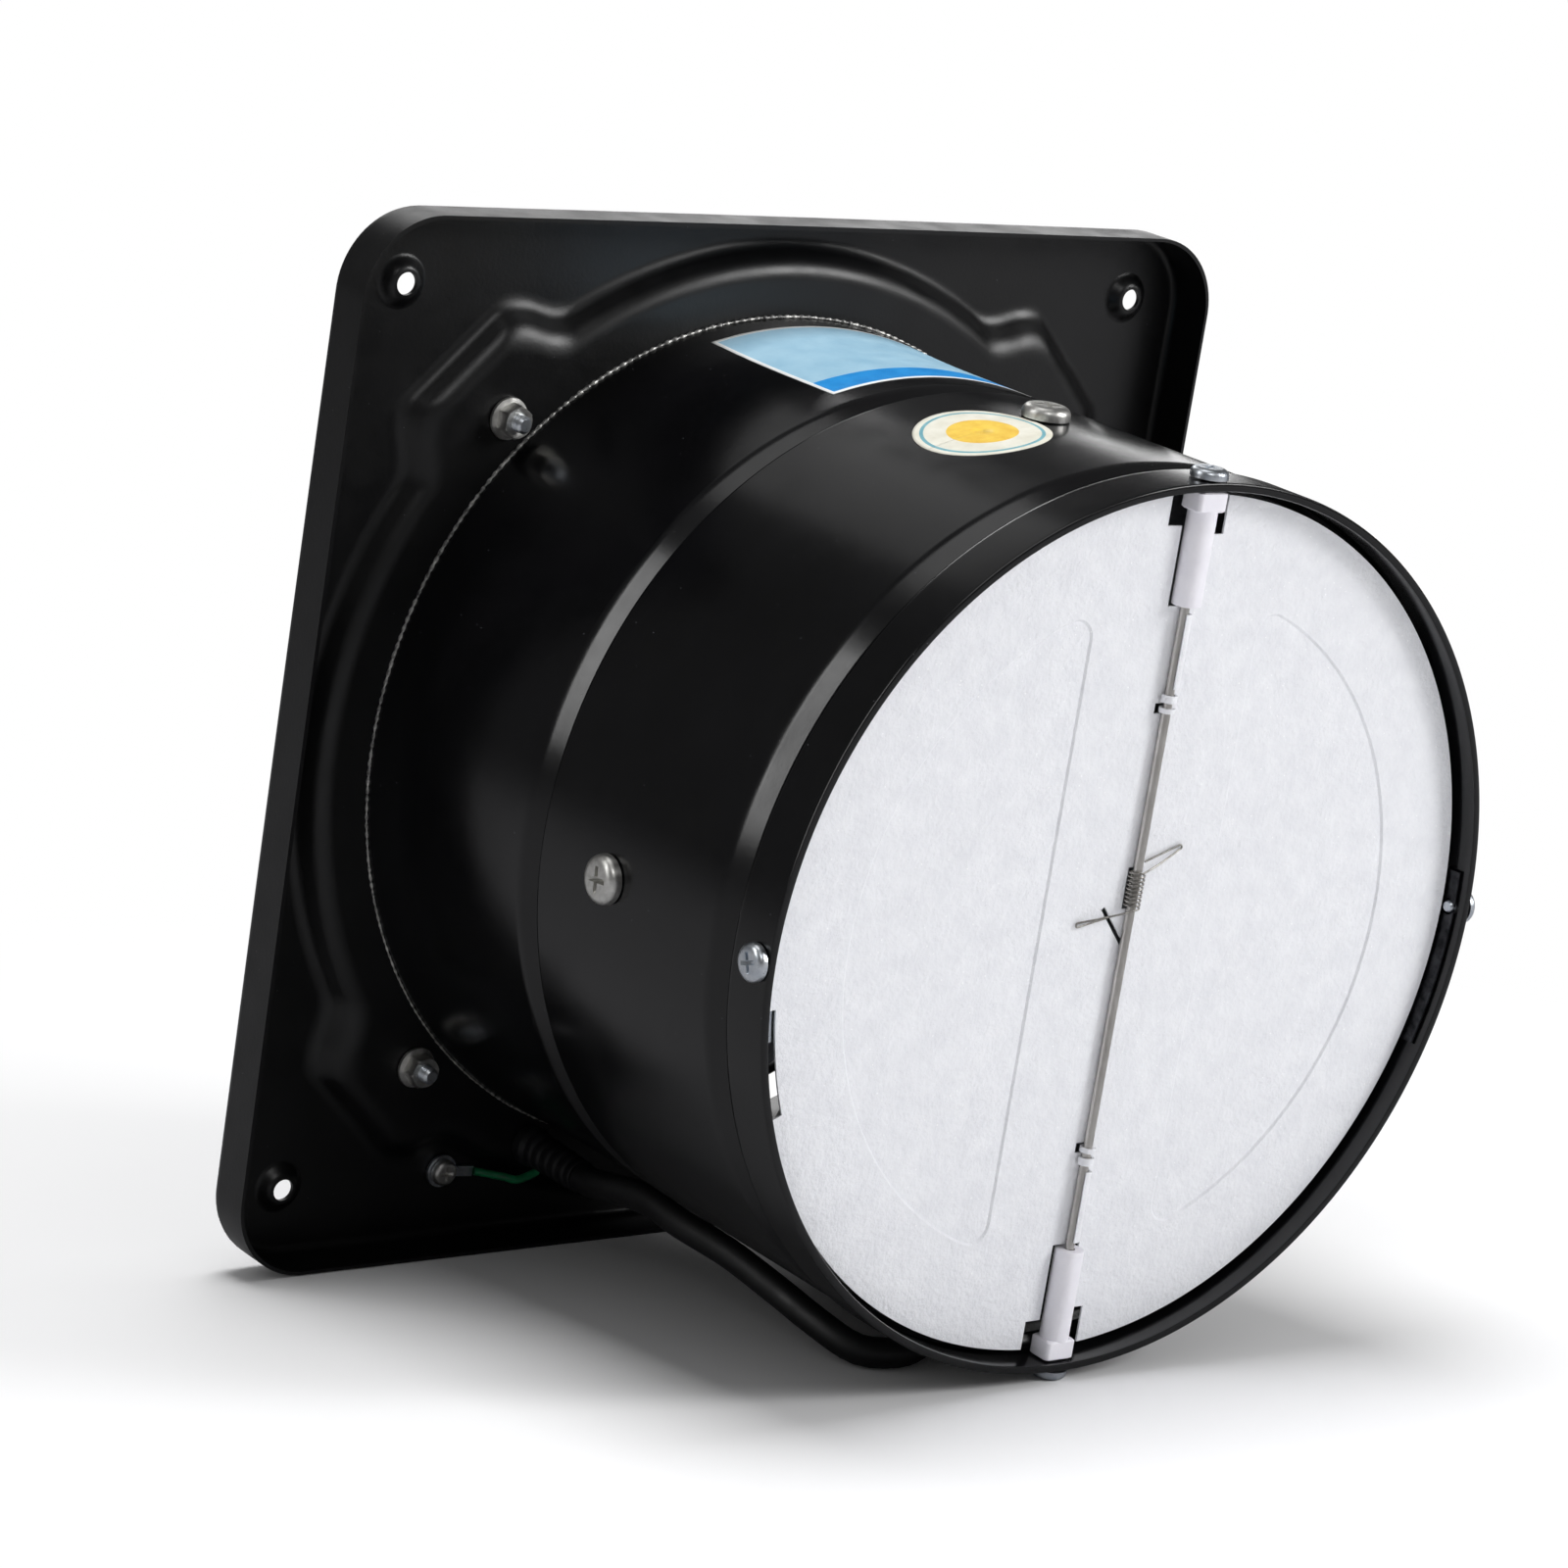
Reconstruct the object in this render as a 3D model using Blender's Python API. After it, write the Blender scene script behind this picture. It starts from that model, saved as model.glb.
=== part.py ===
"""Wall exhaust fan: square pressed plate, short round duct, guard, motor, impeller and two sprung outlet flaps.

It is built in the fan's own frame: X to the right seen from the outlet, Z up along the flap rod.
Reach is the distance from the wall plane toward the outlet, so Y is minus the reach.
The whole fan then leans to rest on the plate's lower edge and the rim, with the floor at Z = 0.
"""

from math import acos, atan, atan2, ceil, cos, degrees, pi, radians, sin, sqrt, tan

import bmesh
import bpy
import numpy as np
from mathutils import Matrix, Vector

mm = 0.001

# Clearances shared by pieces that seat on, pass through or run past one another
seat_gap = 0.3 * mm
bolt_gap = 0.3 * mm
cut_overrun = 1.0 * mm
weld_overlap = 0.3 * mm

# Shares of a screw head's height where its side ends, and of its radius where its flat top begins
head_side_share = 0.4
head_top_share = 0.6

# Wall plate
plate_corner = 20.0 * mm
plate_sheet = 1.0 * mm
flange_depth = 13.0 * mm
edge_bend = 3.0 * mm
centre_rise = 6.0 * mm
centre_border = 12.8 * mm
centre_slope = 3.6 * mm
plate_border = 4.6 * mm
tab_proud = 10.6 * mm
tab_end_width = 29.0 * mm
tab_root_width = 40.0 * mm
mount_inset = 17.7 * mm
mount_hole = 5.2 * mm
boss_width = 12.0 * mm
boss_rise = 2.4 * mm

# Duct
duct_reach = 144.4 * mm
duct_width = 202.0 * mm
duct_sheet = 0.9 * mm
neck_step = 0.2 * mm
flare_rise = 1.3 * mm
flare_reach_share = 0.5
lip_width = 1.1 * mm
neck_groove_setback = 20.0 * mm
neck_groove_slope = 6.0 * mm
rim_land = 14.4 * mm
rim_groove_slope = 14.5 * mm
groove_depth = 1.6 * mm
groove_step = 0.7 * mm
rim_step = 0.75 * mm
hem_depth = 6.5 * mm
hem_thickness = 2.0 * mm
hem_round = 0.5 * mm

# Motor lead, from the sleeve's back to the motor
motor_lead_width = 2.6 * mm
motor_lead_bend = 4.5 * mm
motor_lead_straight = 1.0 * mm
motor_lead_entry = 68.0 * mm

# Guard, its screws and its nuts
guard_wire = 2.5 * mm
guard_inset = 3.2 * mm
guard_ring_spacing = 12.0 * mm
guard_dome = 8.0 * mm
guard_shoulder = 14.0 * mm
guard_lead_gap = 0.9 * mm
lug_sheet = 1.5 * mm
lug_width = 10.0 * mm
lug_foot = 11.2 * mm
lug_lip_gap = 1.1 * mm
lug_top = 7.3 * mm
guard_bolt_border = 6.8 * mm
guard_screw_shank = 4.0 * mm
guard_screw_head_width = 7.6 * mm
guard_screw_head_height = 2.2 * mm
guard_screw_proud = 2.6 * mm
guard_nut_flange_width = 10.0 * mm
guard_nut_flange_height = 1.0 * mm
guard_nut_across_flats = 7.0 * mm
guard_nut_height = 4.6 * mm

# Motor bracket and its screws
bracket_sheet = 1.5 * mm
bracket_arm_width = 14.0 * mm
bracket_disc_width = 66.0 * mm
bracket_bend = 1.5 * mm
bracket_foot_length = 11.0 * mm
bracket_screw_ahead = 6.0 * mm
bracket_screw_shank = 4.0 * mm
bracket_screw_head_width = 11.0 * mm
bracket_screw_head_height = 3.0 * mm
bracket_screw_length = 6.0 * mm

# Motor
motor_width = 84.0 * mm
motor_wall = 1.2 * mm
motor_shell_length = 46.0 * mm
cap_skirt = 6.5 * mm
cap_wall = 2.5 * mm
cap_edge_round = 2.5 * mm
cap_boss_width = 25.0 * mm
cap_boss_proud = 7.0 * mm
cap_vent_width = 7.0 * mm
cap_vent_circle = 56.0 * mm
cap_vent_count = 6
bearing_width = 18.0 * mm
bearing_length = 5.0 * mm
shaft_width = 8.0 * mm
shaft_end_gap = 1.0 * mm
air_gap = 0.5 * mm
core_depth = 17.5 * mm
core_length = 30.0 * mm
winding_length = 5.5 * mm
winding_inset = 2.0 * mm
motor_screw_circle = 54.0 * mm
motor_screw_shank = 3.0 * mm
motor_screw_head_width = 6.0 * mm
motor_screw_head_height = 1.8 * mm
motor_screw_length = 4.5 * mm

# Impeller
impeller_tip_gap = 3.6 * mm
impeller_gap = 5.0 * mm
hub_width = 48.0 * mm
hub_length = 26.0 * mm
hub_wall = 3.0 * mm
hub_boss_width = 17.0 * mm
hub_round = 3.0 * mm
blade_count = 6
blade_sheet = 1.4 * mm
blade_root_chord = 32.0 * mm
blade_tip_chord = 60.0 * mm
blade_root_pitch = radians(38)
blade_tip_pitch = radians(22)
blade_sweep = radians(9)
blade_camber_share = 0.07
blade_tip_chord_share = 0.82
shaft_nut_across_flats = 13.0 * mm
shaft_nut_height = 7.0 * mm
shaft_proud = 2.0 * mm
shaft_flap_gap = 9.6 * mm

# Rod, posts and rim screws
rod_setback = 4.2 * mm
rod_width = 2.0 * mm
post_width = 6.6 * mm
post_length = 25.5 * mm
post_collar_width = 8.0 * mm
post_collar_depth = 6.4 * mm
post_collar_height = 4.5 * mm
post_collar_corner = 1.0 * mm
post_screw_depth = 7.5 * mm
rim_screw_shank = 3.2 * mm
rim_screw_head_width = 8.4 * mm
rim_screw_head_height = 2.2 * mm

# Flaps, their knuckles and their stops
flap_rim_gap = 1.7 * mm
flap_sheet = 0.5 * mm
flap_half_gap = 0.25 * mm
knuckle_gap = 0.3 * mm
knuckle_side_gap = 0.6 * mm
knuckle_post_gap = 1.87 * mm
left_knuckle_length = 16.6 * mm
left_knuckle_curl = radians(200)
hook_gap = 1.0 * mm
hook_width = 2.2 * mm
hook_curl = radians(290)
right_knuckle_start_share = 0.316
right_knuckle_length_share = 0.47
right_knuckle_curl = radians(250)
left_notch_width = 8.0 * mm
left_notch_height = 7.0 * mm
right_notch_width = 7.0 * mm
right_notch_height = 9.0 * mm
crease_border = 21.55 * mm
crease_inset = 24.0 * mm
crease_corner = 4.5 * mm
crease_width = 1.6 * mm
crease_rise = 0.35 * mm
slot_width = 1.1 * mm
slot_length = 10.5 * mm
slot_low = 2.6 * mm
slot_lean = radians(50)
stop_sheet = 0.6 * mm
stop_lip = 5.0 * mm
stop_leg = 4.0 * mm
stop_above = radians(5)
stop_below = radians(19)

# Torsion spring on the rod
spring_wire = 0.45 * mm
spring_width = 3.85 * mm
spring_turns = 9
spring_turn_gap = 0.47 * mm
spring_start = 5.6 * mm
spring_left_leg = 14.0 * mm
spring_left_drop = 2.9 * mm
spring_right_leg = 12.0 * mm
spring_right_lift = 4.2 * mm
spring_hairpin = 1.6 * mm
spring_return_leg = 7.0 * mm

# Mains lead, its sleeve, coil and plug
lead_width = 7.0 * mm
lead_spacing_share = 2.0
sleeve_lip_gap = 0.4 * mm
sleeve_angle = radians(-112.5)
sleeve_base_width = 10.0 * mm
sleeve_tip_width = 8.0 * mm
sleeve_length = 22.0 * mm
sleeve_neck_width = 7.4 * mm
sleeve_back_width = 9.0 * mm
sleeve_back_height = 1.2 * mm
floor_gap = 0.1 * mm
coil_x = 178.0 * mm
coil_y = 96.0 * mm
coil_radius = 45.2 * mm
coil_turn_gap = 0.6 * mm
coil_turns_per_layer = 2
coil_points_per_turn = 24
plug_relief_length = 22.0 * mm
plug_relief_start_width = 8.0 * mm
plug_relief_width = 10.5 * mm
plug_relief_corner = 3.0 * mm
plug_length = 38.0 * mm
plug_width = 33.0 * mm
plug_height = 21.6 * mm
plug_corner = 5.0 * mm
pin_width = 6.3 * mm
pin_sheet = 1.6 * mm
pin_corner = 0.4 * mm
pin_length = 17.0 * mm
earth_pin_length = 20.0 * mm
pin_spread = 13.7 * mm
pin_rise = 3.0 * mm
pin_drop = 5.5 * mm
pin_lean = radians(30)

# Earth lead, its tag and its screw
earth_wire = 2.0 * mm
earth_screw_border = 6.6 * mm
earth_screw_angle = radians(-120)
earth_screw_shank = 3.0 * mm
earth_screw_head_width = 6.4 * mm
earth_screw_head_height = 2.0 * mm
earth_screw_proud = 1.0 * mm
tag_width = 8.0 * mm
tag_sheet = 0.8 * mm
tag_tail_length = 5.0 * mm
tag_tail_width = 2.6 * mm
tag_turn = radians(-5)

# Places worked out from the sizes above
duct_radius = duct_width / 2
rim_radius = duct_radius + rim_step
centre_radius = duct_radius + centre_border
tab_reach = centre_radius + tab_proud
plate_half = centre_radius + centre_slope + plate_border + edge_bend
earth_screw_radius = centre_radius + centre_slope + earth_screw_border
neck_radius = duct_radius - neck_step
duct_bore = duct_radius - duct_sheet
hem_radius = rim_radius - hem_thickness
root_radius = neck_radius + flare_rise
lip_radius = root_radius + lip_width
plate_bore = root_radius + seat_gap
guard_radius = lip_radius - guard_inset
guard_bolt_radius = lip_radius + guard_bolt_border
sleeve_radius = lip_radius + sleeve_lip_gap + sleeve_base_width / 2
plate_room = -flange_depth
plate_wall = plate_room + plate_sheet
centre_room = plate_room + centre_rise
centre_wall = centre_room + plate_sheet
lip_wall = centre_room - seat_gap
lip_room = lip_wall - duct_sheet
rim_groove_reach = duct_reach - rim_land

# The row along the duct: rod, flaps, impeller and bracket, counted back from the outlet
rod_reach = duct_reach - rod_setback
rod_radius = rod_width / 2
knuckle_bore = rod_radius + knuckle_gap
sheet_front = rod_reach - knuckle_bore
sheet_back = sheet_front - flap_sheet
shaft_outlet = sheet_back - shaft_flap_gap
shaft_nut_seat = shaft_outlet - shaft_proud - shaft_nut_height
hub_outlet = shaft_nut_seat - seat_gap
hub_motor = hub_outlet - hub_length
boss_outlet = hub_motor - impeller_gap
bracket_outlet = boss_outlet - cap_boss_proud
bracket_reach = bracket_outlet - bracket_sheet
bracket_screw_reach = bracket_reach + bracket_screw_ahead
neck_groove_reach = bracket_reach - neck_groove_setback
flare_reach = neck_groove_reach * flare_reach_share

# The motor lead bends over the duct's lip, and the guard's outer ring clears it
sleeve_back = centre_room - seat_gap
sleeve_end = sleeve_back - sleeve_back_height
motor_lead_start = sleeve_end - seat_gap
arch_foot = motor_lead_start - motor_lead_straight
motor_lead_crest = arch_foot - motor_lead_bend
guard_wire_radius = guard_wire / 2
guard_base = motor_lead_crest - motor_lead_width / 2 - guard_lead_gap - guard_wire_radius


def guard_reach(radius):
    """Reach of the guard's rings, which rise in an even curve from the outer ring to the flat of the dome."""
    share = min(1, max(0, (guard_radius - radius) / guard_shoulder))
    return guard_base - guard_dome * (1 - cos(share * pi)) / 2


guard_ring_count = int(guard_radius / guard_ring_spacing)
guard_ring_radii = [guard_radius - guard_ring_spacing * i for i in range(guard_ring_count)]

# Row frame: the fan rests on the plate's lower edge and the lower rim screw's head, with the floor at zero
# and the origin under the middle of the fan without its lead
rim_screw_seat = rim_radius + seat_gap
rim_head_radius = rim_screw_head_width / 2
foot_rise = rim_screw_seat + rim_screw_head_height
foot_reach = rod_reach + rim_head_radius * head_top_share
rest_lean = atan2(plate_half - foot_rise, foot_reach)
head_edge = (rod_reach + rim_head_radius, rim_screw_seat + rim_screw_head_height * head_side_share)
front_points = [(duct_reach, rim_radius - hem_round), head_edge]
bend_point = (plate_room + edge_bend, plate_half - edge_bend, edge_bend)
back_points = [(guard_reach(radius), radius, guard_wire_radius) for radius in guard_ring_radii] + [bend_point]
rest_front = max(reach * cos(rest_lean) + rise * sin(rest_lean) for reach, rise in front_points)
rest_back = max(drop * sin(rest_lean) - reach * cos(rest_lean) + bulge for reach, drop, bulge in back_points)
rest_place = Matrix.Translation((0, (rest_front - rest_back) / 2, plate_half * cos(rest_lean)))
fan_to_floor = rest_place @ Matrix.Rotation(rest_lean, 4, "X")

# Turns local Z to the reach direction, with local Y up
along_reach = Matrix.Rotation(radians(90), 4, "X")

quarter_turns = [radians(90) * i for i in range(4)]
diagonals = [radians(45) + turn for turn in quarter_turns]

for old in list(bpy.data.objects):
    bpy.data.objects.remove(old)

fan = bpy.data.objects.new("fan_at_rest", None)
fan.matrix_world = fan_to_floor
bpy.context.collection.objects.link(fan)


def paint(name, colour, metallic, roughness):
    made = bpy.data.materials.new(name)
    made.use_nodes = True
    shader = made.node_tree.nodes["Principled BSDF"]
    shader.inputs["Base Color"].default_value = (*colour, 1)
    shader.inputs["Metallic"].default_value = metallic
    shader.inputs["Roughness"].default_value = roughness
    made.diffuse_color = (*colour, 1)
    return made


black_paint = paint("black_paint", (0.012, 0.012, 0.013), 0.0, 0.32)
guard_paint = paint("guard_paint", (0.03, 0.03, 0.032), 0.0, 0.4)
zinc = paint("zinc", (0.62, 0.65, 0.7), 1.0, 0.28)
bright_steel = paint("bright_steel", (0.7, 0.7, 0.68), 1.0, 0.22)
rod_steel = paint("rod_steel", (0.5, 0.49, 0.47), 1.0, 0.3)
spring_steel = paint("spring_steel", (0.33, 0.32, 0.3), 1.0, 0.35)
flap_coat = paint("flap_coat", (0.79, 0.8, 0.83), 0.0, 0.5)
white_nylon = paint("white_nylon", (0.86, 0.86, 0.88), 0.0, 0.4)
blade_metal = paint("blade_metal", (0.6, 0.61, 0.62), 1.0, 0.4)
motor_paint = paint("motor_paint", (0.05, 0.05, 0.055), 0.0, 0.45)
core_steel = paint("core_steel", (0.25, 0.25, 0.26), 1.0, 0.5)
copper = paint("copper", (0.55, 0.22, 0.09), 1.0, 0.4)
black_rubber = paint("black_rubber", (0.02, 0.02, 0.02), 0.0, 0.6)
green_sheath = paint("green_sheath", (0.02, 0.35, 0.2), 0.0, 0.4)
plug_plastic = paint("plug_plastic", (0.015, 0.015, 0.015), 0.0, 0.35)
pin_brass = paint("pin_brass", (0.66, 0.6, 0.45), 1.0, 0.3)


def make_mesh(name, bm, look):
    bmesh.ops.recalc_face_normals(bm, faces=bm.faces)
    mesh = bpy.data.meshes.new(name)
    bm.to_mesh(mesh)
    bm.free()
    mesh.shade_smooth()
    mesh.set_sharp_from_angle(angle=radians(35))
    if look:
        mesh.materials.append(look)
    return mesh


def add(name, bm, look, home=(0, 0, 0), carrier=fan):
    """One piece from a mesh in its carrier's frame, with its origin moved to home."""
    bmesh.ops.translate(bm, verts=bm.verts, vec=-Vector(home))
    made = bpy.data.objects.new(name, make_mesh(name, bm, look))
    bpy.context.collection.objects.link(made)
    made.parent = carrier
    made.location = home
    return made


def add_copies(name, bm, look, places):
    """Numbered copies of one piece that is modelled on its own axis."""
    mesh = make_mesh(name, bm, look)
    for number, place in enumerate(places, 1):
        made = bpy.data.objects.new(f"{name}_{number}", mesh)
        bpy.context.collection.objects.link(made)
        made.parent = fan
        made.matrix_local = place


def change(piece, bm, operation):
    """Cuts a closed body from a piece, or joins it on, with a hidden helper."""
    helper = add(f"{piece.name}_{operation.lower()}", bm, None)
    helper.hide_render = True
    helper.display_type = "WIRE"
    step = piece.modifiers.new(helper.name, "BOOLEAN")
    step.operation = operation
    step.solver = "EXACT"
    step.object = helper


def skin(bm, rings, closed):
    """Joins rings of points with faces, and caps the two ends unless the row of rings closes on itself."""
    pairs = list(zip(rings, rings[1:] + rings[:1] if closed else rings[1:]))
    for one, two in pairs:
        for i in range(len(one)):
            j = (i + 1) % len(one)
            corners = list(dict.fromkeys((one[i], one[j], two[j], two[i])))
            if len(corners) > 2:
                bm.faces.new(corners)
    if not closed:
        bm.faces.new(rings[0])
        bm.faces.new(rings[-1])


def loft(bm, sections, place=Matrix(), closed=False):
    skin(bm, [[bm.verts.new(place @ Vector(point)) for point in section] for section in sections], closed)


def prism(bm, outline, low, high, place=Matrix()):
    """Straight body on a closed outline, from one height to another along local Z."""
    loft(bm, [[(x, y, height) for x, y in outline] for height in (low, high)], place)


def turned(bm, profile, steps, place=Matrix(), start=0, sweep=2 * pi):
    """Turns a closed profile of radius and height about local Z, all the way round or through part of a turn."""
    whole = sweep == 2 * pi
    poles = {}
    rings = []
    for i in range(steps if whole else steps + 1):
        turn = start + sweep * i / steps
        ring = []
        for radius, height in profile:
            on_axis = radius == 0
            if on_axis and height in poles:
                ring.append(poles[height])
                continue
            corner = bm.verts.new(place @ Vector((radius * cos(turn), radius * sin(turn), height)))
            ring.append(corner)
            if on_axis:
                poles[height] = corner
        rings.append(ring)
    skin(bm, rings, whole)


def drill(bm, radius, low, high, steps, place=Matrix()):
    """Round body for a hole, from one height to another along local Z."""
    turned(bm, [(0, low), (radius, low), (radius, high), (0, high)], steps, place)


def polygon(radius, sides, start=0.0):
    turns = [start + 2 * pi * i / sides for i in range(sides)]
    return [(radius * cos(turn), radius * sin(turn)) for turn in turns]


def rounded_box(width, height, corner, per_corner=4):
    points = []
    for turn_to_corner in diagonals:
        x = (width / 2 - corner) * (1 if cos(turn_to_corner) > 0 else -1)
        y = (height / 2 - corner) * (1 if sin(turn_to_corner) > 0 else -1)
        for i in range(per_corner):
            turn = turn_to_corner - radians(45) + radians(90) * i / (per_corner - 1)
            points.append((x + corner * cos(turn), y + corner * sin(turn)))
    return points


def tube(bm, points, radius, sides):
    """Unbroken round tube through a row of points, with flat ends."""
    points = [Vector(point) for point in points]
    sections = []
    across = (points[1] - points[0]).orthogonal().normalized()
    for i, point in enumerate(points):
        ahead = (points[min(i + 1, len(points) - 1)] - points[max(i - 1, 0)]).normalized()
        across = (across - ahead * across.dot(ahead)).normalized()
        other = ahead.cross(across)
        sections.append([point + radius * (across * x + other * y) for x, y in polygon(1, sides)])
    loft(bm, sections)


def smooth_path(marks, spacing):
    """Even points on a smooth curve through hand-chosen marks, and the curve's length."""
    marks = [np.array(mark, float) for mark in marks]
    ends = [2 * marks[0] - marks[1]] + marks + [2 * marks[-1] - marks[-2]]
    fine = []
    for before, one, two, after in zip(ends, ends[1:], ends[2:], ends[3:]):
        for t in np.linspace(0, 1, 40, endpoint=False):
            straight = 2 * one + (two - before) * t
            bend = (2 * before - 5 * one + 4 * two - after) * t**2
            twist = (3 * one - before - 3 * two + after) * t**3
            fine.append((straight + bend + twist) / 2)
    fine = np.array(fine + [marks[-1]])
    run = np.concatenate([[0], np.cumsum(np.linalg.norm(np.diff(fine, axis=0), axis=1))])
    even = np.linspace(0, run[-1], max(2, ceil(run[-1] / spacing)) + 1)
    return np.stack([np.interp(even, run, fine[:, axis]) for axis in range(3)], -1), run[-1]


def cord(name, points, width, look, resolution, carrier=None):
    """Round cord as a curve with filled ends."""
    curve = bpy.data.curves.new(name, "CURVE")
    curve.dimensions = "3D"
    curve.bevel_depth = width / 2
    curve.bevel_resolution = resolution
    curve.use_fill_caps = True
    spline = curve.splines.new("POLY")
    spline.points.add(len(points) - 1)
    for spot, point in zip(spline.points, points):
        spot.co = (*point, 1)
    curve.materials.append(look)
    made = bpy.data.objects.new(name, curve)
    made.parent = carrier
    bpy.context.collection.objects.link(made)


def least_gap(points, width, apart):
    """Least distance between the surfaces of two stretches of a tube that lie further apart than this along it."""
    points = np.array([tuple(point) for point in points])
    fine = np.concatenate([np.linspace(one, two, 4, endpoint=False) for one, two in zip(points, points[1:])])
    run = np.concatenate([[0], np.cumsum(np.linalg.norm(np.diff(fine, axis=0), axis=1))])
    least = min(
        np.linalg.norm(fine[far] - fine[i], axis=1).min()
        for i, far in enumerate(np.abs(run[:, None] - run[None, :]) > apart)
        if far.any()
    )
    return least - width


def screw_body(head_width, head_height, shank_width, length, steps):
    """Pan-head screw along local Z, with its head above zero and its plain shank below."""
    head = head_width / 2
    shank = shank_width / 2
    profile = [
        (0, -length),
        (shank, -length),
        (shank, 0),
        (head, 0),
        (head, head_height * head_side_share),
        (head * head_top_share, head_height),
        (0, head_height),
    ]
    bm = bmesh.new()
    turned(bm, profile, steps)
    return bm


def nut_body(bore, across_flats, height, flange=0.0, flange_height=0.0):
    """Hexagon nut along local Z from zero, with a round flange under it if one is given."""
    sides = 12
    to_flat = [(2 * pi * i / sides + radians(30)) % radians(60) - radians(30) for i in range(sides)]
    directions = polygon(1, sides)
    hexagon = [(x * across_flats / 2 / cos(t), y * across_flats / 2 / cos(t)) for (x, y), t in zip(directions, to_flat)]
    rows = [(polygon(bore, sides), 0)]
    if flange:
        rows += [(polygon(flange, sides), 0), (polygon(flange, sides), flange_height)]
    rows += [(hexagon, flange_height), (hexagon, height), (polygon(bore, sides), height)]
    bm = bmesh.new()
    loft(bm, [[(x, y, level) for x, y in row] for row, level in rows], closed=True)
    return bm


def on_duct(angle, reach, radius):
    """Place on the duct at an angle, with local Z pointing straight out of its wall."""
    return Matrix.Rotation(radians(90) - angle, 4, "Y") @ Matrix.Translation((0, -reach, radius))


def on_plate(radius, angle, reach=0.0, facing_room=False):
    """Place on the plate, with local Z toward the outlet or toward the room."""
    spot = Matrix.Translation((radius * cos(angle), -reach, radius * sin(angle)))
    return spot @ Matrix.Rotation(radians(-90 if facing_room else 90), 4, "X")


def folded_sheet(bm, outline, low, high, place, moves_at):
    """Flat sheet on an outline, whose marked edges carry on along a row of moves, as a press would fold them."""
    rings = [[bm.verts.new(place @ Vector((x, y, level))) for x, y, fold in outline] for level in (low, high)]
    bm.faces.new(rings[0])
    bm.faces.new(rings[1])
    for i, (x, y, fold) in enumerate(outline):
        j = (i + 1) % len(outline)
        now = [rings[0][i], rings[0][j], rings[1][j], rings[1][i]]
        if fold is None:
            bm.faces.new(now)
            continue
        start = [place.inverted() @ corner.co for corner in now]
        for move in moves_at(fold):
            following = [bm.verts.new(place @ (move @ corner)) for corner in start]
            for k in range(4):
                bm.faces.new((now[k], now[k - 3], following[k - 3], following[k]))
            now = following
        bm.faces.new(now)


# Wall plate


def square_radius(angle, half, corner):
    """Distance from the middle to a rounded square, at an angle."""
    turn = abs((angle + radians(45)) % radians(90) - radians(45))
    middle = half - corner
    if half * tan(turn) <= middle:
        return half / cos(turn)
    return middle * (cos(turn) + sin(turn)) + sqrt(corner**2 - middle**2 * (1 - sin(2 * turn)))


def centre_outline(angle, grow):
    """Distance from the middle to the pressed centre's edge: a circle with a tapered tab on each diagonal."""
    lean = abs(angle % radians(90) - radians(45))
    reach = tab_reach + grow
    end_half = tab_end_width / 2 + grow
    root_half = tab_root_width / 2 + grow
    taper = (root_half - end_half) / (tab_reach - centre_radius)
    along_side = (end_half + taper * reach) / (tan(lean) + taper)
    return max(centre_radius + grow, min(reach, along_side) / cos(lean))


corner_shares = [0, 0.33, 0.67]


def plate_angles():
    """Angles of the plate's points, with one at each corner of its outlines."""
    tab_root = radians(45) - atan(tab_root_width / 2 / centre_radius)
    tab_corner = radians(45) - atan(tab_end_width / 2 / tab_reach)
    corner_start = atan((plate_half - plate_corner) / plate_half)
    corner_marks = [corner_start + (radians(45) - corner_start) * share for share in corner_shares]
    marks = sorted([0, tab_root, tab_corner, radians(45), *corner_marks])
    octant = [0]
    for low, high in zip(marks, marks[1:]):
        parts = max(1, ceil(degrees(high - low) / 8))
        octant += [low + (high - low) * (i + 1) / parts for i in range(parts)]
    quarter = octant + [radians(90) - angle for angle in reversed(octant[1:-1])]
    return [angle + turn for turn in quarter_turns for angle in quarter]


angles = plate_angles()
slope_angle = atan2(centre_rise, centre_slope)
room_side_inset = plate_sheet * tan(slope_angle / 2)
slope_shares = [(0, 0), (1, 1)]
inner_half = plate_half - edge_bend
inner_corner = plate_corner - edge_bend
bend_turns = [radians(45), radians(90)]
loops = [[(plate_bore, centre_room) for angle in angles]]
for out_share, down_share in slope_shares:
    grow = centre_slope * out_share - room_side_inset
    loops.append([(centre_outline(angle, grow), centre_room - centre_rise * down_share) for angle in angles])
loops.append([(square_radius(angle, inner_half, inner_corner), plate_room) for angle in angles])
for turn in bend_turns:
    grow = edge_bend * sin(turn)
    drop = edge_bend * (1 - cos(turn))
    edge = [square_radius(angle, inner_half + grow, inner_corner + grow) for angle in angles]
    loops.append([(radius, plate_room + drop) for radius in edge])
loops.append([(square_radius(angle, plate_half, plate_corner), 0) for angle in angles])

bm = bmesh.new()
sections = [[(r * cos(angle), -reach, r * sin(angle)) for angle, (r, reach) in zip(angles, loop)] for loop in loops]
rings = [[bm.verts.new(point) for point in section] for section in sections]
for one, two in zip(rings, rings[1:]):
    for i in range(len(angles)):
        bm.faces.new((one[i - 1], one[i], two[i], two[i - 1]))
wall_plate = add("wall_plate", bm, black_paint)
faces_room = wall_plate.data.polygons[0].normal.y > 0
sheet = wall_plate.modifiers.new("sheet", "SOLIDIFY")
sheet.thickness = plate_sheet
sheet.offset = -1 if faces_room else 1
sheet.use_even_offset = True

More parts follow.
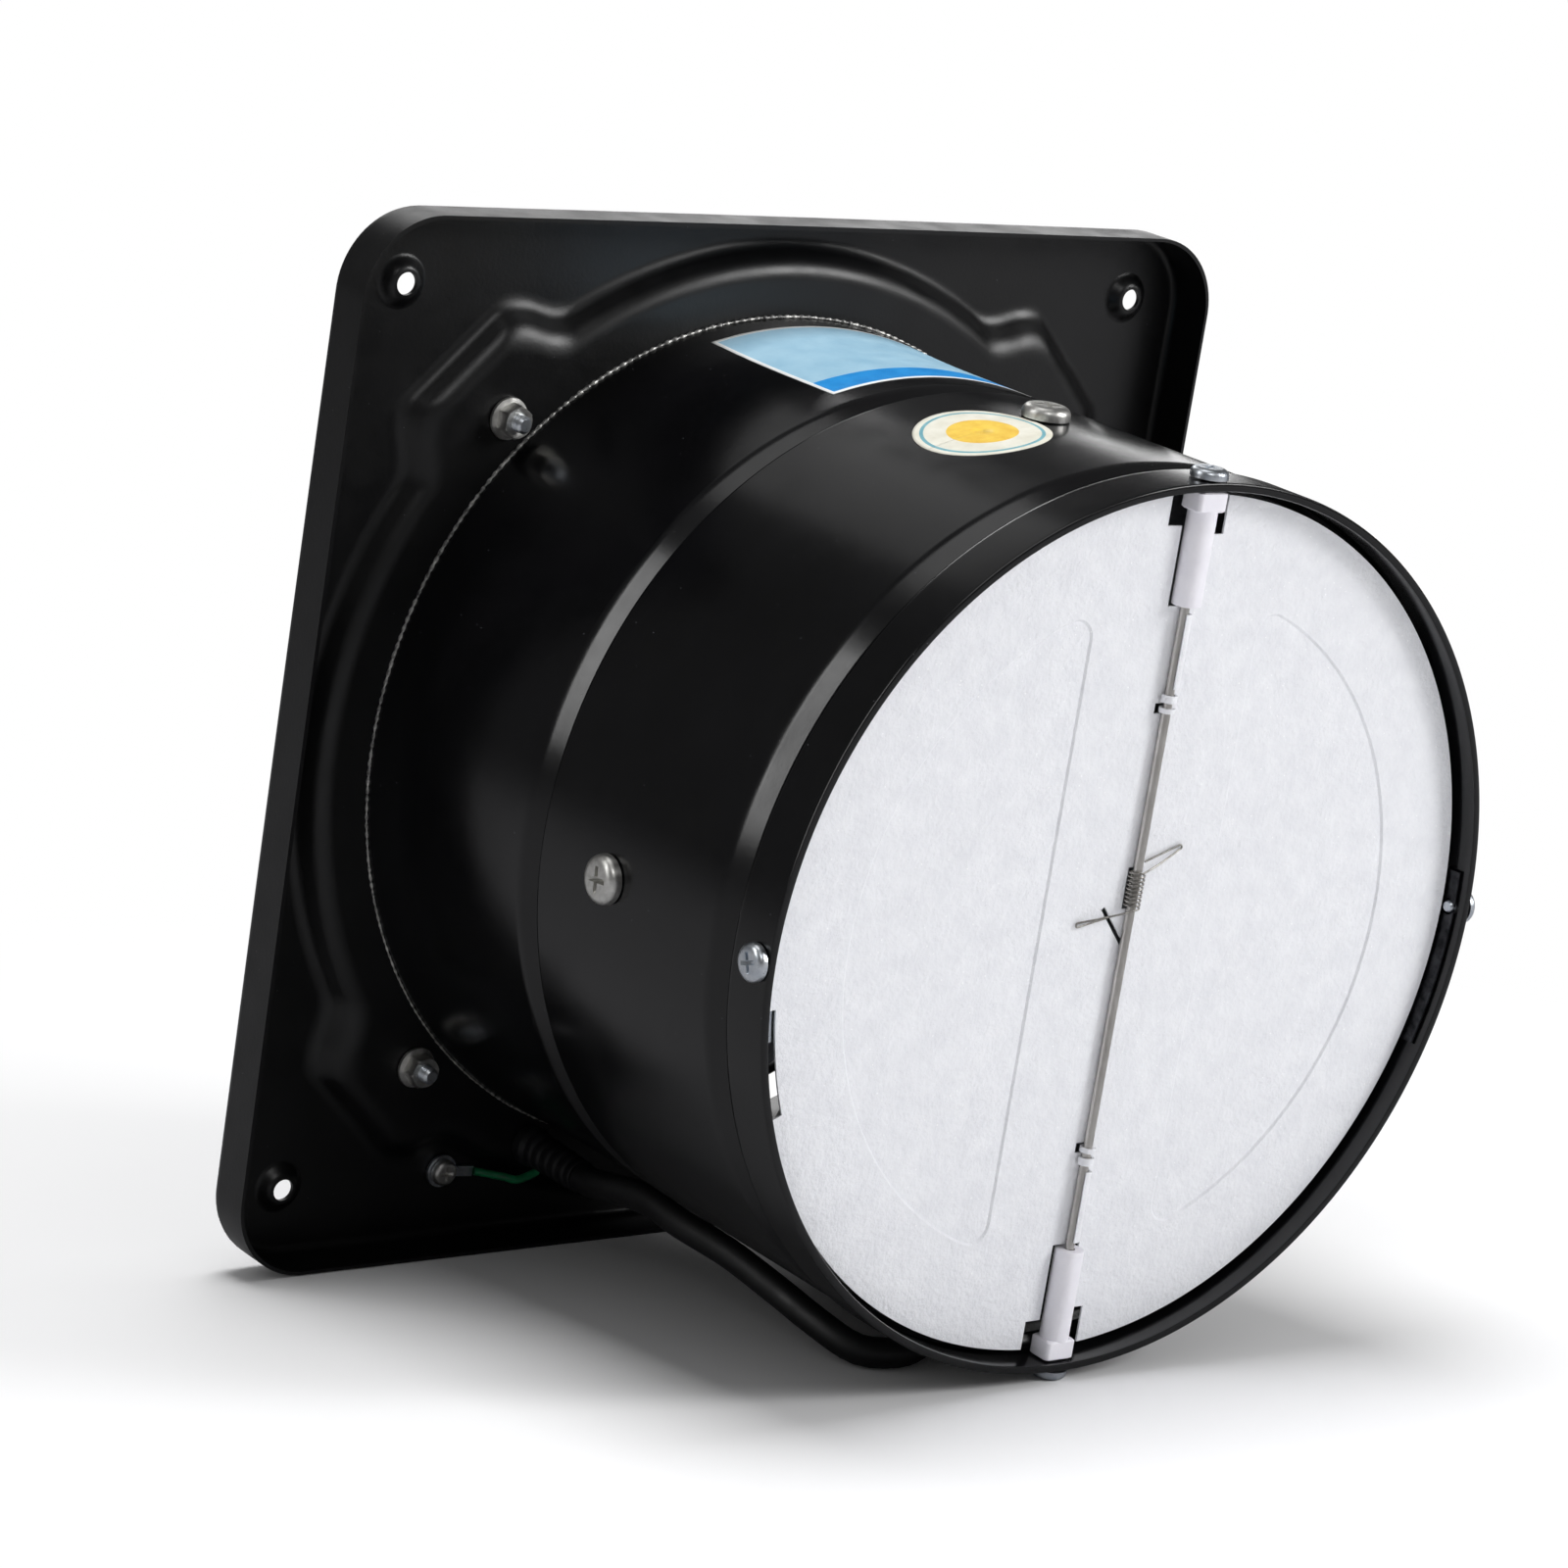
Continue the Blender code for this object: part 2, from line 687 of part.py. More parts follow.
# Dished bosses round the four mounting holes, and the plate's other holes
mount_radius = (plate_half - mount_inset) * sqrt(2)
mount_hole_radius = mount_hole / 2
boss_radius = boss_width / 2
boss_top = plate_wall + boss_rise
boss = [
    (0, plate_wall - plate_sheet / 2),
    (boss_radius, plate_wall - plate_sheet / 2),
    (boss_radius * 0.93, plate_wall + boss_rise * 0.2),
    (mount_hole_radius + plate_sheet, boss_top),
    (0, boss_top),
]
dish = [
    (0, plate_room - cut_overrun),
    (boss_radius - plate_sheet * 0.5, plate_room - cut_overrun),
    (boss_radius - plate_sheet * 0.8, plate_room),
    (mount_hole_radius, boss_top - plate_sheet),
    (mount_hole_radius, boss_top + cut_overrun),
    (0, boss_top + cut_overrun),
]
guard_hole = guard_screw_shank / 2 + bolt_gap
sleeve_hole = sleeve_neck_width / 2 + seat_gap
earth_hole = earth_screw_shank / 2 + bolt_gap
bosses = bmesh.new()
holes = bmesh.new()
centre_span = (centre_room - cut_overrun, centre_wall + cut_overrun)
plate_span = (plate_room - cut_overrun, plate_wall + cut_overrun)
for angle in diagonals:
    turned(bosses, boss, 14, on_plate(mount_radius, angle))
    turned(holes, dish, 14, on_plate(mount_radius, angle))
    drill(holes, guard_hole, *centre_span, 12, on_plate(guard_bolt_radius, angle))
drill(holes, sleeve_hole, *centre_span, 16, on_plate(sleeve_radius, sleeve_angle))
drill(holes, earth_hole, *plate_span, 12, on_plate(earth_screw_radius, earth_screw_angle))
change(wall_plate, bosses, "UNION")
change(wall_plate, holes, "DIFFERENCE")


# Duct: one turned sheet from the curled lip on the room side to the hem at the outlet

flare_shares = [1, 0.5, 0]
flare_outside = []
for share in flare_shares:
    reach = flare_reach + (centre_wall - flare_reach) * share
    flare_outside.append((neck_radius + flare_rise * share**2, reach))
outside = [(lip_radius, lip_room), (lip_radius, lip_wall), (root_radius, lip_wall), *flare_outside]
outside += [
    (neck_radius, neck_groove_reach - neck_groove_slope),
    (neck_radius - groove_depth, neck_groove_reach - groove_step),
    (neck_radius - groove_depth, neck_groove_reach),
    (duct_radius, neck_groove_reach + groove_step),
    (duct_radius, rim_groove_reach - rim_groove_slope),
    (duct_radius - groove_depth, rim_groove_reach - groove_step),
    (duct_radius - groove_depth, rim_groove_reach),
    (rim_radius, rim_groove_reach + groove_step),
    (rim_radius, duct_reach - hem_round),
    (rim_radius - hem_round, duct_reach),
    (hem_radius + hem_round, duct_reach),
    (hem_radius, duct_reach - hem_round),
    (hem_radius, duct_reach - hem_depth),
    (rim_radius - duct_sheet, duct_reach - hem_depth - hem_round),
]
inside = [
    (rim_radius - duct_sheet, rim_groove_reach + groove_step * 2),
    (duct_bore - groove_depth, rim_groove_reach + groove_step),
    (duct_bore - groove_depth, rim_groove_reach - groove_step),
    (duct_bore, rim_groove_reach - rim_groove_slope),
    (duct_bore, neck_groove_reach + groove_step + duct_sheet),
    (duct_bore - groove_depth, neck_groove_reach + groove_step),
    (duct_bore - groove_depth, neck_groove_reach - groove_step),
    (neck_radius - duct_sheet, neck_groove_reach - neck_groove_slope),
]
inside += [(radius - duct_sheet, reach) for radius, reach in reversed(flare_outside)]
inside.append((root_radius - duct_sheet * 0.7, lip_room))
bm = bmesh.new()
turned(bm, outside + inside, 48, along_reach)
duct = add("duct", bm, black_paint)

bracket_hole = bracket_screw_shank / 2 + bolt_gap
rim_hole = rim_screw_shank / 2 + bolt_gap
holes = bmesh.new()
for angle in quarter_turns:
    for hole, reach in ((bracket_hole, bracket_screw_reach), (rim_hole, rod_reach)):
        drill(holes, hole, -hem_thickness - cut_overrun, cut_overrun, 14, on_duct(angle, reach, rim_radius))
change(duct, holes, "DIFFERENCE")


# Wire guard on the room side: rings, spokes welded across them, and a folded lug on each diagonal

bm = bmesh.new()
for i, radius in enumerate(guard_ring_radii):
    section = polygon(guard_wire_radius, 5)
    ring = [(radius + x, guard_reach(radius) + y) for x, y in section]
    turned(bm, ring, max(12, 30 - 3 * i), along_reach)
guard = add("guard", bm, guard_paint)

spokes = bmesh.new()
lugs = bmesh.new()
lug_holes = bmesh.new()
spoke_lift = guard_wire - weld_overlap
spoke_shares = [0, 0.2, 0.4, 0.6, 0.8, 1]
shoulder_radius = guard_radius - guard_shoulder
spoke_radii = [guard_ring_radii[-1] - guard_wire_radius]
spoke_radii += [shoulder_radius + guard_shoulder * share for share in spoke_shares]
spoke_radii.append(guard_radius + guard_wire_radius)
lug_wall = centre_room - seat_gap
lug_room = lug_wall - lug_sheet
lug_heel = lip_radius + lug_lip_gap
ring_wall = guard_base + guard_wire_radius
lug_profile = [
    (lug_heel, lug_wall),
    (lug_heel + lug_foot, lug_wall),
    (lug_heel + lug_foot, lug_room),
    (lug_heel + lug_sheet, lug_room),
    (lug_heel + lug_sheet, ring_wall - weld_overlap),
    (lug_heel + lug_sheet - lug_top, ring_wall - weld_overlap),
    (lug_heel + lug_sheet - lug_top, ring_wall - weld_overlap + lug_sheet),
    (lug_heel, ring_wall - weld_overlap + lug_sheet),
]
for angle in diagonals:
    outward = Vector((cos(angle), 0, sin(angle)))
    points = [outward * radius + Vector((0, spoke_lift - guard_reach(radius), 0)) for radius in spoke_radii]
    tube(spokes, points, guard_wire_radius, 6)
    turn = Matrix.Rotation(-angle, 4, "Y")
    flat = [[(radius, -reach, side * lug_width / 2) for radius, reach in lug_profile] for side in (-1, 1)]
    loft(lugs, flat, turn)
    span = (lug_room - cut_overrun, lug_wall + cut_overrun)
    drill(lug_holes, guard_hole, *span, 12, on_plate(guard_bolt_radius, angle))
change(guard, spokes, "UNION")
change(guard, lugs, "UNION")
change(guard, lug_holes, "DIFFERENCE")

# Guard screws from the room side, and flange nuts on the tabs
head_seat = lug_room - seat_gap
nut_seat = centre_wall + seat_gap
screw_length = nut_seat - head_seat + guard_nut_height + guard_screw_proud
bm = screw_body(guard_screw_head_width, guard_screw_head_height, guard_screw_shank, screw_length, 10)
add_copies("guard_screw", bm, zinc, [on_plate(guard_bolt_radius, turn, head_seat, True) for turn in diagonals])
nut_bore = guard_screw_shank / 2 + bolt_gap
bm = nut_body(
    nut_bore, guard_nut_across_flats, guard_nut_height, guard_nut_flange_width / 2, guard_nut_flange_height
)
add_copies("guard_nut", bm, bright_steel, [on_plate(guard_bolt_radius, turn, nut_seat) for turn in diagonals])


# Motor bracket: a disc with four arms, each arm's end folded along the duct and held by a screw

foot_half = bracket_arm_width / 2
foot_face = sqrt((duct_bore - seat_gap) ** 2 - foot_half**2)
fold_radius = bracket_bend + bracket_sheet
arm_end = foot_face - fold_radius
disc_radius = bracket_disc_width / 2
disc_corner = atan(foot_half / disc_radius)
disc_shares = [0, 0.33, 0.67, 1]
outline = []
for turn in quarter_turns:
    rotate = Matrix.Rotation(turn, 2)
    outline.append((*(rotate @ Vector((arm_end, -foot_half))), turn))
    outline.append((*(rotate @ Vector((arm_end, foot_half))), None))
    for share in disc_shares:
        at = turn + disc_corner + (radians(90) - 2 * disc_corner) * share
        outline.append((disc_radius * cos(at), disc_radius * sin(at), None))


def foot_moves(turn):
    """Moves that fold an arm's end toward the outlet and carry it on as a straight foot."""
    facing = Matrix.Rotation(turn, 4, "Z")
    pivot = Matrix.Translation((arm_end, 0, bracket_reach + fold_radius))
    fold_shares = [0.33, 0.67, 1]
    folds = [pivot @ Matrix.Rotation(radians(-90) * share, 4, "Y") @ pivot.inverted() for share in fold_shares]
    slide = Matrix.Translation((0, 0, bracket_foot_length - fold_radius))
    return [facing @ move @ facing.inverted() for move in (*folds, slide @ folds[-1])]


bm = bmesh.new()
folded_sheet(bm, outline, bracket_reach, bracket_outlet, along_reach, foot_moves)
motor_bracket = add("motor_bracket", bm, black_paint)
motor_hole = motor_screw_shank / 2 + bolt_gap
cap_boss_radius = cap_boss_width / 2
bracket_span = (bracket_reach - cut_overrun, bracket_outlet + cut_overrun)
holes = bmesh.new()
drill(holes, cap_boss_radius + seat_gap, *bracket_span, 24, along_reach)
for turn in diagonals:
    drill(holes, motor_hole, *bracket_span, 12, on_plate(motor_screw_circle / 2, turn))
for turn in quarter_turns:
    place = on_duct(turn, bracket_screw_reach, foot_face)
    drill(holes, bracket_hole, -bracket_sheet - cut_overrun, cut_overrun, 14, place)
change(motor_bracket, holes, "DIFFERENCE")

bm = screw_body(
    bracket_screw_head_width, bracket_screw_head_height, bracket_screw_shank, bracket_screw_length, 12
)
places = [on_duct(turn, bracket_screw_reach, duct_radius + seat_gap) for turn in quarter_turns]
add_copies("bracket_screw", bm, bright_steel, places)


# Motor: shell, two caps with bearing bosses, core, windings, rotor, shaft and bearings

motor_radius = motor_width / 2
shaft_radius = shaft_width / 2
shaft_bore = shaft_radius + seat_gap
bearing_radius = bearing_width / 2
pocket_radius = bearing_radius + seat_gap
duct_cap_face = bracket_reach - seat_gap
duct_cap_inside = duct_cap_face - cap_wall
shell_outlet = duct_cap_inside - seat_gap
shell_room = shell_outlet - motor_shell_length
room_cap_edge = shell_room - seat_gap
room_cap_face = room_cap_edge - cap_skirt
boss_room = room_cap_face - cap_boss_proud

bm = bmesh.new()
bore = motor_radius - motor_wall
ring = [(bore, shell_room), (motor_radius, shell_room), (motor_radius, shell_outlet), (bore, shell_outlet)]
turned(bm, ring, 32, along_reach)
add("motor_shell", bm, motor_paint)

profile = [
    (0, boss_room),
    (cap_boss_radius - cap_edge_round, boss_room),
    (cap_boss_radius, boss_room + cap_edge_round),
    (cap_boss_radius, room_cap_face),
    (motor_radius - cap_edge_round, room_cap_face),
    (motor_radius - cap_edge_round * 0.3, room_cap_face + cap_edge_round * 0.3),
    (motor_radius, room_cap_face + cap_edge_round),
    (motor_radius, room_cap_edge),
    (motor_radius - cap_wall, room_cap_edge),
    (motor_radius - cap_wall, room_cap_face + cap_wall),
    (pocket_radius, room_cap_face + cap_wall),
    (pocket_radius, boss_room + cap_wall),
    (0, boss_room + cap_wall),
]
bm = bmesh.new()
turned(bm, profile, 32, along_reach)
motor_room_cap = add("motor_room_cap", bm, motor_paint)
vents = bmesh.new()
for i in range(cap_vent_count):
    turn = 2 * pi * (i + 0.5) / cap_vent_count
    span = (room_cap_face - cut_overrun, room_cap_face + cap_wall + cut_overrun)
    drill(vents, cap_vent_width / 2, *span, 8, on_plate(cap_vent_circle / 2, turn))
change(motor_room_cap, vents, "DIFFERENCE")

profile = [
    (pocket_radius, duct_cap_inside),
    (motor_radius, duct_cap_inside),
    (motor_radius, duct_cap_face - cap_edge_round * 0.5),
    (motor_radius - cap_edge_round * 0.5, duct_cap_face),
    (cap_boss_radius, duct_cap_face),
    (cap_boss_radius, boss_outlet - cap_edge_round),
    (cap_boss_radius - cap_edge_round, boss_outlet),
    (shaft_bore, boss_outlet),
    (shaft_bore, boss_outlet - cap_wall),
    (pocket_radius, boss_outlet - cap_wall),
]
bm = bmesh.new()
turned(bm, profile, 32, along_reach)
motor_duct_cap = add("motor_duct_cap", bm, motor_paint)
holes = bmesh.new()
for turn in diagonals:
    span = (duct_cap_inside - cut_overrun, duct_cap_face + cut_overrun)
    drill(holes, motor_hole, *span, 12, on_plate(motor_screw_circle / 2, turn))
change(motor_duct_cap, holes, "DIFFERENCE")

bm = screw_body(motor_screw_head_width, motor_screw_head_height, motor_screw_shank, motor_screw_length, 10)
places = [on_plate(motor_screw_circle / 2, turn, bracket_outlet + seat_gap) for turn in diagonals]
add_copies("motor_screw", bm, zinc, places)

core_middle = (shell_room + shell_outlet) / 2
core_low = core_middle - core_length / 2
core_high = core_middle + core_length / 2
core_radius = motor_radius - motor_wall - seat_gap
core_bore = core_radius - core_depth
rotor_radius = core_bore - air_gap
bm = bmesh.new()
ring = [(core_bore, core_low), (core_radius, core_low), (core_radius, core_high), (core_bore, core_high)]
turned(bm, ring, 28, along_reach)
add("stator", bm, core_steel)

winding_in = core_bore + winding_inset
winding_out = core_radius - winding_inset
for name, base, away in (("room_winding", core_low - seat_gap, -1), ("duct_winding", core_high + seat_gap, 1)):
    end = base + away * winding_length
    profile = [
        (winding_in, base),
        (winding_out, base),
        (winding_out, base + away * winding_length / 2),
        (winding_out - winding_inset, end),
        (winding_in + winding_inset, end),
        (winding_in, base + away * winding_length / 2),
    ]
    bm = bmesh.new()
    turned(bm, profile, 20, along_reach)
    add(name, bm, copper)

shaft_room = boss_room + cap_wall + shaft_end_gap
profile = [
    (0, shaft_room),
    (shaft_radius, shaft_room),
    (shaft_radius, shaft_outlet - shaft_radius * 0.3),
    (shaft_radius * 0.7, shaft_outlet),
    (0, shaft_outlet),
]
bm = bmesh.new()
turned(bm, profile, 20, along_reach)
add("shaft", bm, bright_steel, home=(0, -shaft_room, 0))

bm = bmesh.new()
ring = [(shaft_bore, core_low), (rotor_radius, core_low), (rotor_radius, core_high), (shaft_bore, core_high)]
turned(bm, ring, 24, along_reach)
add("rotor", bm, core_steel, home=(0, -core_low, 0))

room_bearing_low = shaft_room + seat_gap
duct_bearing_low = boss_outlet - cap_wall - seat_gap - bearing_length
for name, low in (("room_bearing", room_bearing_low), ("duct_bearing", duct_bearing_low)):
    high = low + bearing_length
    ring = [(shaft_bore, low), (bearing_radius, low), (bearing_radius, high), (shaft_bore, high)]
    bm = bmesh.new()
    turned(bm, ring, 20, along_reach)
    add(name, bm, bright_steel)


# Impeller: turned hub with swept and twisted blades

hub_radius = hub_width / 2
hub_boss_radius = hub_boss_width / 2
hub_home = (0, -hub_motor, 0)
profile = [
    (shaft_bore, hub_motor + hub_wall),
    (hub_boss_radius, hub_motor + hub_wall),
    (hub_boss_radius, hub_outlet - hub_wall),
    (hub_radius - hub_wall, hub_outlet - hub_wall),
    (hub_radius - hub_wall, hub_motor),
    (hub_radius, hub_motor),
    (hub_radius, hub_outlet - hub_round),
    (hub_radius - hub_round * 0.3, hub_outlet - hub_round * 0.3),
    (hub_radius - hub_round, hub_outlet),
    (shaft_bore, hub_outlet),
]
bm = bmesh.new()
turned(bm, profile, 30, along_reach)
impeller = add("impeller", bm, blade_metal, home=hub_home)

blade_middle = (hub_motor + hub_outlet) / 2
blade_root = hub_radius - hub_wall / 2
blade_tip = duct_bore - impeller_tip_gap
span_shares = [0, 0.3, 0.6, 0.9, 1]
chord_shares = [-0.5, -0.25, 0, 0.25, 0.5]
round_start_share = 0.9


def blade_point(span_share, chord_share, lift):
    """Point of a blade: from root to tip, from trailing to leading edge, and lifted off its middle surface."""
    radius = blade_root + (blade_tip - blade_root) * span_share
    chord = blade_root_chord + (blade_tip_chord - blade_root_chord) * span_share
    rounding = max(0, span_share - round_start_share) / (1 - round_start_share)
    chord *= 1 - (1 - blade_tip_chord_share) * rounding
    pitch = blade_root_pitch + (blade_tip_pitch - blade_root_pitch) * span_share
    bow = chord * blade_camber_share * (1 - 4 * chord_share**2) + lift
    around = chord * chord_share * cos(pitch) - bow * sin(pitch)
    along = chord * chord_share * sin(pitch) + bow * cos(pitch)
    turn = around / radius + blade_sweep * span_share**2
    return Vector((radius * cos(turn), radius * sin(turn), blade_middle + along))


blades = bmesh.new()
for i in range(blade_count):
    sections = []
    for span_share in span_shares:
        front = [blade_point(span_share, share, blade_sheet / 2) for share in chord_shares]
        back = [blade_point(span_share, share, -blade_sheet / 2) for share in reversed(chord_shares)]
        sections.append(front + back)
    loft(blades, sections, along_reach @ Matrix.Rotation(2 * pi * i / blade_count, 4, "Z"))
change(impeller, blades, "UNION")

bm = nut_body(shaft_bore, shaft_nut_across_flats, shaft_nut_height)
bmesh.ops.transform(bm, matrix=on_plate(0, 0, shaft_nut_seat), verts=bm.verts)
add("impeller_nut", bm, bright_steel, home=(0, -shaft_nut_seat, 0))


# Rod and posts, on the rod's own upright axis

post_radius = post_width / 2
rod_home = Vector((0, -rod_reach, 0))
post_top = sqrt((hem_radius - seat_gap) ** 2 - (post_collar_width / 2) ** 2)
post_end = post_top - post_length
rod_half = post_top - post_screw_depth - seat_gap
bm = bmesh.new()
drill(bm, rod_radius, -rod_half, rod_half, 12, Matrix.Translation(rod_home))
add("hinge_rod", bm, rod_steel, home=rod_home)

rod_bore = rod_radius + seat_gap
collar_foot = post_top - post_collar_height
post_bores = [
    (0, post_end - cut_overrun),
    (rod_bore, post_end - cut_overrun),
    (rod_bore, post_top - post_screw_depth),
    (rim_hole, post_top - post_screw_depth),
    (rim_hole, post_top + cut_overrun),
    (0, post_top + cut_overrun),
]
for name, side in (("top_post", 1), ("bottom_post", -1)):
    upright = Matrix.Translation(rod_home) @ Matrix.Scale(side, 4, (0, 0, 1))
    bm = bmesh.new()
    collar = rounded_box(post_collar_width, post_collar_depth, post_collar_corner)
    prism(bm, collar, collar_foot, post_top, upright)
    post = add(name, bm, white_nylon, home=rod_home)
    barrel = bmesh.new()
    drill(barrel, post_radius, post_end, collar_foot + weld_overlap, 16, upright)
    change(post, barrel, "UNION")
    bores = bmesh.new()
    turned(bores, post_bores, 14, upright)
    change(post, bores, "DIFFERENCE")

flap_radius = hem_radius - flap_rim_gap
stop_radius = hem_radius - seat_gap
upright_tip = post_top - post_screw_depth + seat_gap
side_tip = (flap_radius + stop_radius - stop_sheet) / 2
for name, tip, turns in (
    ("post_screw", upright_tip, (radians(90), radians(-90))),
    ("stop_screw", side_tip, (radians(180), 0)),
):
    bm = screw_body(rim_screw_head_width, rim_screw_head_height, rim_screw_shank, rim_screw_seat - tip, 12)
    add_copies(name, bm, zinc, [on_duct(turn, rod_reach, rim_screw_seat) for turn in turns])


# Flaps: half discs behind the rod, with curled knuckles, cut-outs for the other flap's knuckles, and notches

knuckle_radius = knuckle_bore + flap_sheet
cut_half = knuckle_radius + knuckle_side_gap
spring_top = spring_start + spring_turns * (spring_wire + spring_turn_gap)
window_half = spring_width / 2 + knuckle_side_gap
post_cut = post_radius + knuckle_side_gap
post_low = post_end - knuckle_side_gap
crease_radius = flap_radius - crease_border
left_knuckle_start = post_end - knuckle_post_gap - left_knuckle_length
hook_start = left_knuckle_start - hook_gap - hook_width
right_knuckle_room = hook_start - spring_top
right_knuckle_start = spring_top + right_knuckle_room * right_knuckle_start_share
right_knuckle_length = right_knuckle_room * right_knuckle_length_share


def both_ends(start, length, curl):
    """One stretch of the rod above the middle and its mirror image below, each with its curl."""
    return [(start, start + length, curl), (-start - length, -start, curl)]


left_curls = both_ends(left_knuckle_start, left_knuckle_length, left_knuckle_curl)
left_curls += both_ends(hook_start, hook_width, hook_curl)
right_curls = both_ends(right_knuckle_start, right_knuckle_length, right_knuckle_curl)


# Where each flap is cut out for the other's curls: a hook and the knuckle above it share one cut
left_cuts = [(low, high) for low, high, curl in right_curls]
hook_to_end = left_knuckle_start + left_knuckle_length - hook_start
right_cuts = [(low, high) for low, high, curl in both_ends(hook_start, hook_to_end, None)]


def rod_edge(own_curls, other_cuts, slotted):
    """The flap's edge along the rod, from low to high, as distance out, height and curl."""
    runs = []
    for low, high, curl in own_curls:
        runs.append([(flap_half_gap, low, None), (0, low, curl), (0, high, None), (flap_half_gap, high, None)])
    cuts = [(low, high, cut_half) for low, high in other_cuts] + [(spring_start, spring_top, window_half)]
    for low, high, out in cuts:
        low -= knuckle_side_gap
        high += knuckle_side_gap
        runs.append([(x, y, None) for x, y in ((flap_half_gap, low), (out, low), (out, high), (flap_half_gap, high))])
    if slotted:
        lean = Vector((cos(slot_lean), sin(slot_lean)))
        side = Vector((-lean.y, lean.x)) * slot_width / 2
        tip = Vector((flap_half_gap, -slot_low)) + lean * slot_length
        across = slot_width / 2 / lean.x
        mouth = (-slot_low - across, -slot_low + across)
        runs.append([(flap_half_gap, mouth[0], None), (*(tip - side), None), (*(tip + side), None)])
        runs[-1].append((flap_half_gap, mouth[1], None))
    return [point for run in sorted(runs, key=lambda run: run[0][1]) for point in run]


def flap_outline(edge, notch_width, notch_height):
    """Half disc with its notches beside the posts."""
    notch_foot = flap_radius - notch_height
    notch_turn = acos(notch_width / flap_radius)
    arc_steps = 26
    arc = [notch_turn - 2 * notch_turn * i / arc_steps for i in range(arc_steps + 1)]
    low_end = [(notch_width, -notch_foot), (post_cut, -notch_foot), (post_cut, -post_low), (flap_half_gap, -post_low)]
    high_end = [(x, -y, None) for x, y in reversed(low_end)]
    outline = [(flap_radius * cos(turn), flap_radius * sin(turn), None) for turn in arc]
    return outline + [(x, y, None) for x, y in low_end] + edge + high_end


def crease_loop(grow):
    """Rounded D with its flat side toward the rod."""
    radius = crease_radius + grow
    corner = crease_corner + grow
    middle = crease_inset + crease_corner
    rise = sqrt((radius - corner) ** 2 - middle**2)
    bend = atan2(rise, middle)
    corner_shares = [0.5, 1]
    arc_steps = 18
    loop = [(radius * cos(bend - 2 * bend * i / arc_steps), radius * sin(bend - 2 * bend * i / arc_steps)) for i in range(arc_steps + 1)]
    turns = [bend + (pi - bend) * share for share in corner_shares]
    loop += [(middle + corner * cos(turn), -rise - corner * sin(turn)) for turn in turns]
    loop += [(middle + corner * cos(turn), rise + corner * sin(turn)) for turn in reversed(turns)]
    return loop


crease_half = crease_width / 2
crease_section = [
    (-crease_half, sheet_front - flap_sheet / 2),
    (crease_half, sheet_front - flap_sheet / 2),
    (crease_half, sheet_front),
    (crease_half * 0.4, sheet_front + crease_rise),
    (-crease_half * 0.4, sheet_front + crease_rise),
    (-crease_half, sheet_front),
]
flap_kinds = (
    ("left_flap", -1, rod_edge(left_curls, left_cuts, True), left_notch_width, left_notch_height),
    ("right_flap", 1, rod_edge(right_curls, right_cuts, False), right_notch_width, right_notch_height),
)
for name, side, edge, notch_width, notch_height in flap_kinds:
    outline = flap_outline(edge, notch_width, notch_height)

    def curl_moves(curl, side=side):
        """Moves that curl a knuckle round the rod, away from its own flap."""
        steps = ceil(degrees(curl) / 34)
        axis = Matrix.Translation((0, 0, rod_reach))
        bends = [Matrix.Rotation(side * curl * (i + 1) / steps, 4, "Y") for i in range(steps)]
        return [axis @ bend @ axis.inverted() for bend in bends]

    bm = bmesh.new()
    mirrored = [(side * out, up, curl) for out, up, curl in outline]
    folded_sheet(bm, mirrored, sheet_back, sheet_front, along_reach, curl_moves)
    flap = add(name, bm, flap_coat, home=rod_home)
    crease = bmesh.new()
    rows = [[(side * x, y, reach) for x, y in crease_loop(grow)] for grow, reach in crease_section]
    loft(crease, rows, along_reach, closed=True)
    change(flap, crease, "UNION")

# Stops: a bent strip on the hem at the left and at the right, its lip behind the flap's edge
stop_lip_front = sheet_back - seat_gap
stop_lip_back = stop_lip_front - stop_sheet
profile = [
    (stop_radius - stop_lip, stop_lip_back),
    (stop_radius, stop_lip_back),
    (stop_radius, stop_lip_front + stop_leg),
    (stop_radius - stop_sheet, stop_lip_front + stop_leg),
    (stop_radius - stop_sheet, stop_lip_front),
    (stop_radius - stop_lip, stop_lip_front),
]
sweep = stop_above + stop_below
for name, start, screw_angle in (("left_stop", pi - stop_above, pi), ("right_stop", -stop_below, 0)):
    bm = bmesh.new()
    turned(bm, profile, 8, along_reach, start, sweep)
    stop = add(name, bm, zinc)
    hole = bmesh.new()
    place = on_duct(screw_angle, rod_reach, stop_radius)
    drill(hole, rim_hole, -stop_sheet - cut_overrun, cut_overrun, 14, place)
    change(stop, hole, "DIFFERENCE")


# Torsion spring: one unbroken wire, with a leg on each flap's outer face

coil_mean = (spring_width - spring_wire) / 2
leg_depth = knuckle_bore - seat_gap - spring_wire / 2
spring_pitch = spring_wire + spring_turn_gap
points_per_turn = 8
leg_shares = [1, 0.75, 0.5, 0.25]
hairpin_radius = spring_hairpin / 2


def leg_point(length, lift, share):
    """Point of a leg, which leaves the front of the coil and bows back to the flap's face."""
    depth = (coil_mean + leg_depth) * share**1.5 - coil_mean
    return Vector((length * share, depth, lift * share))


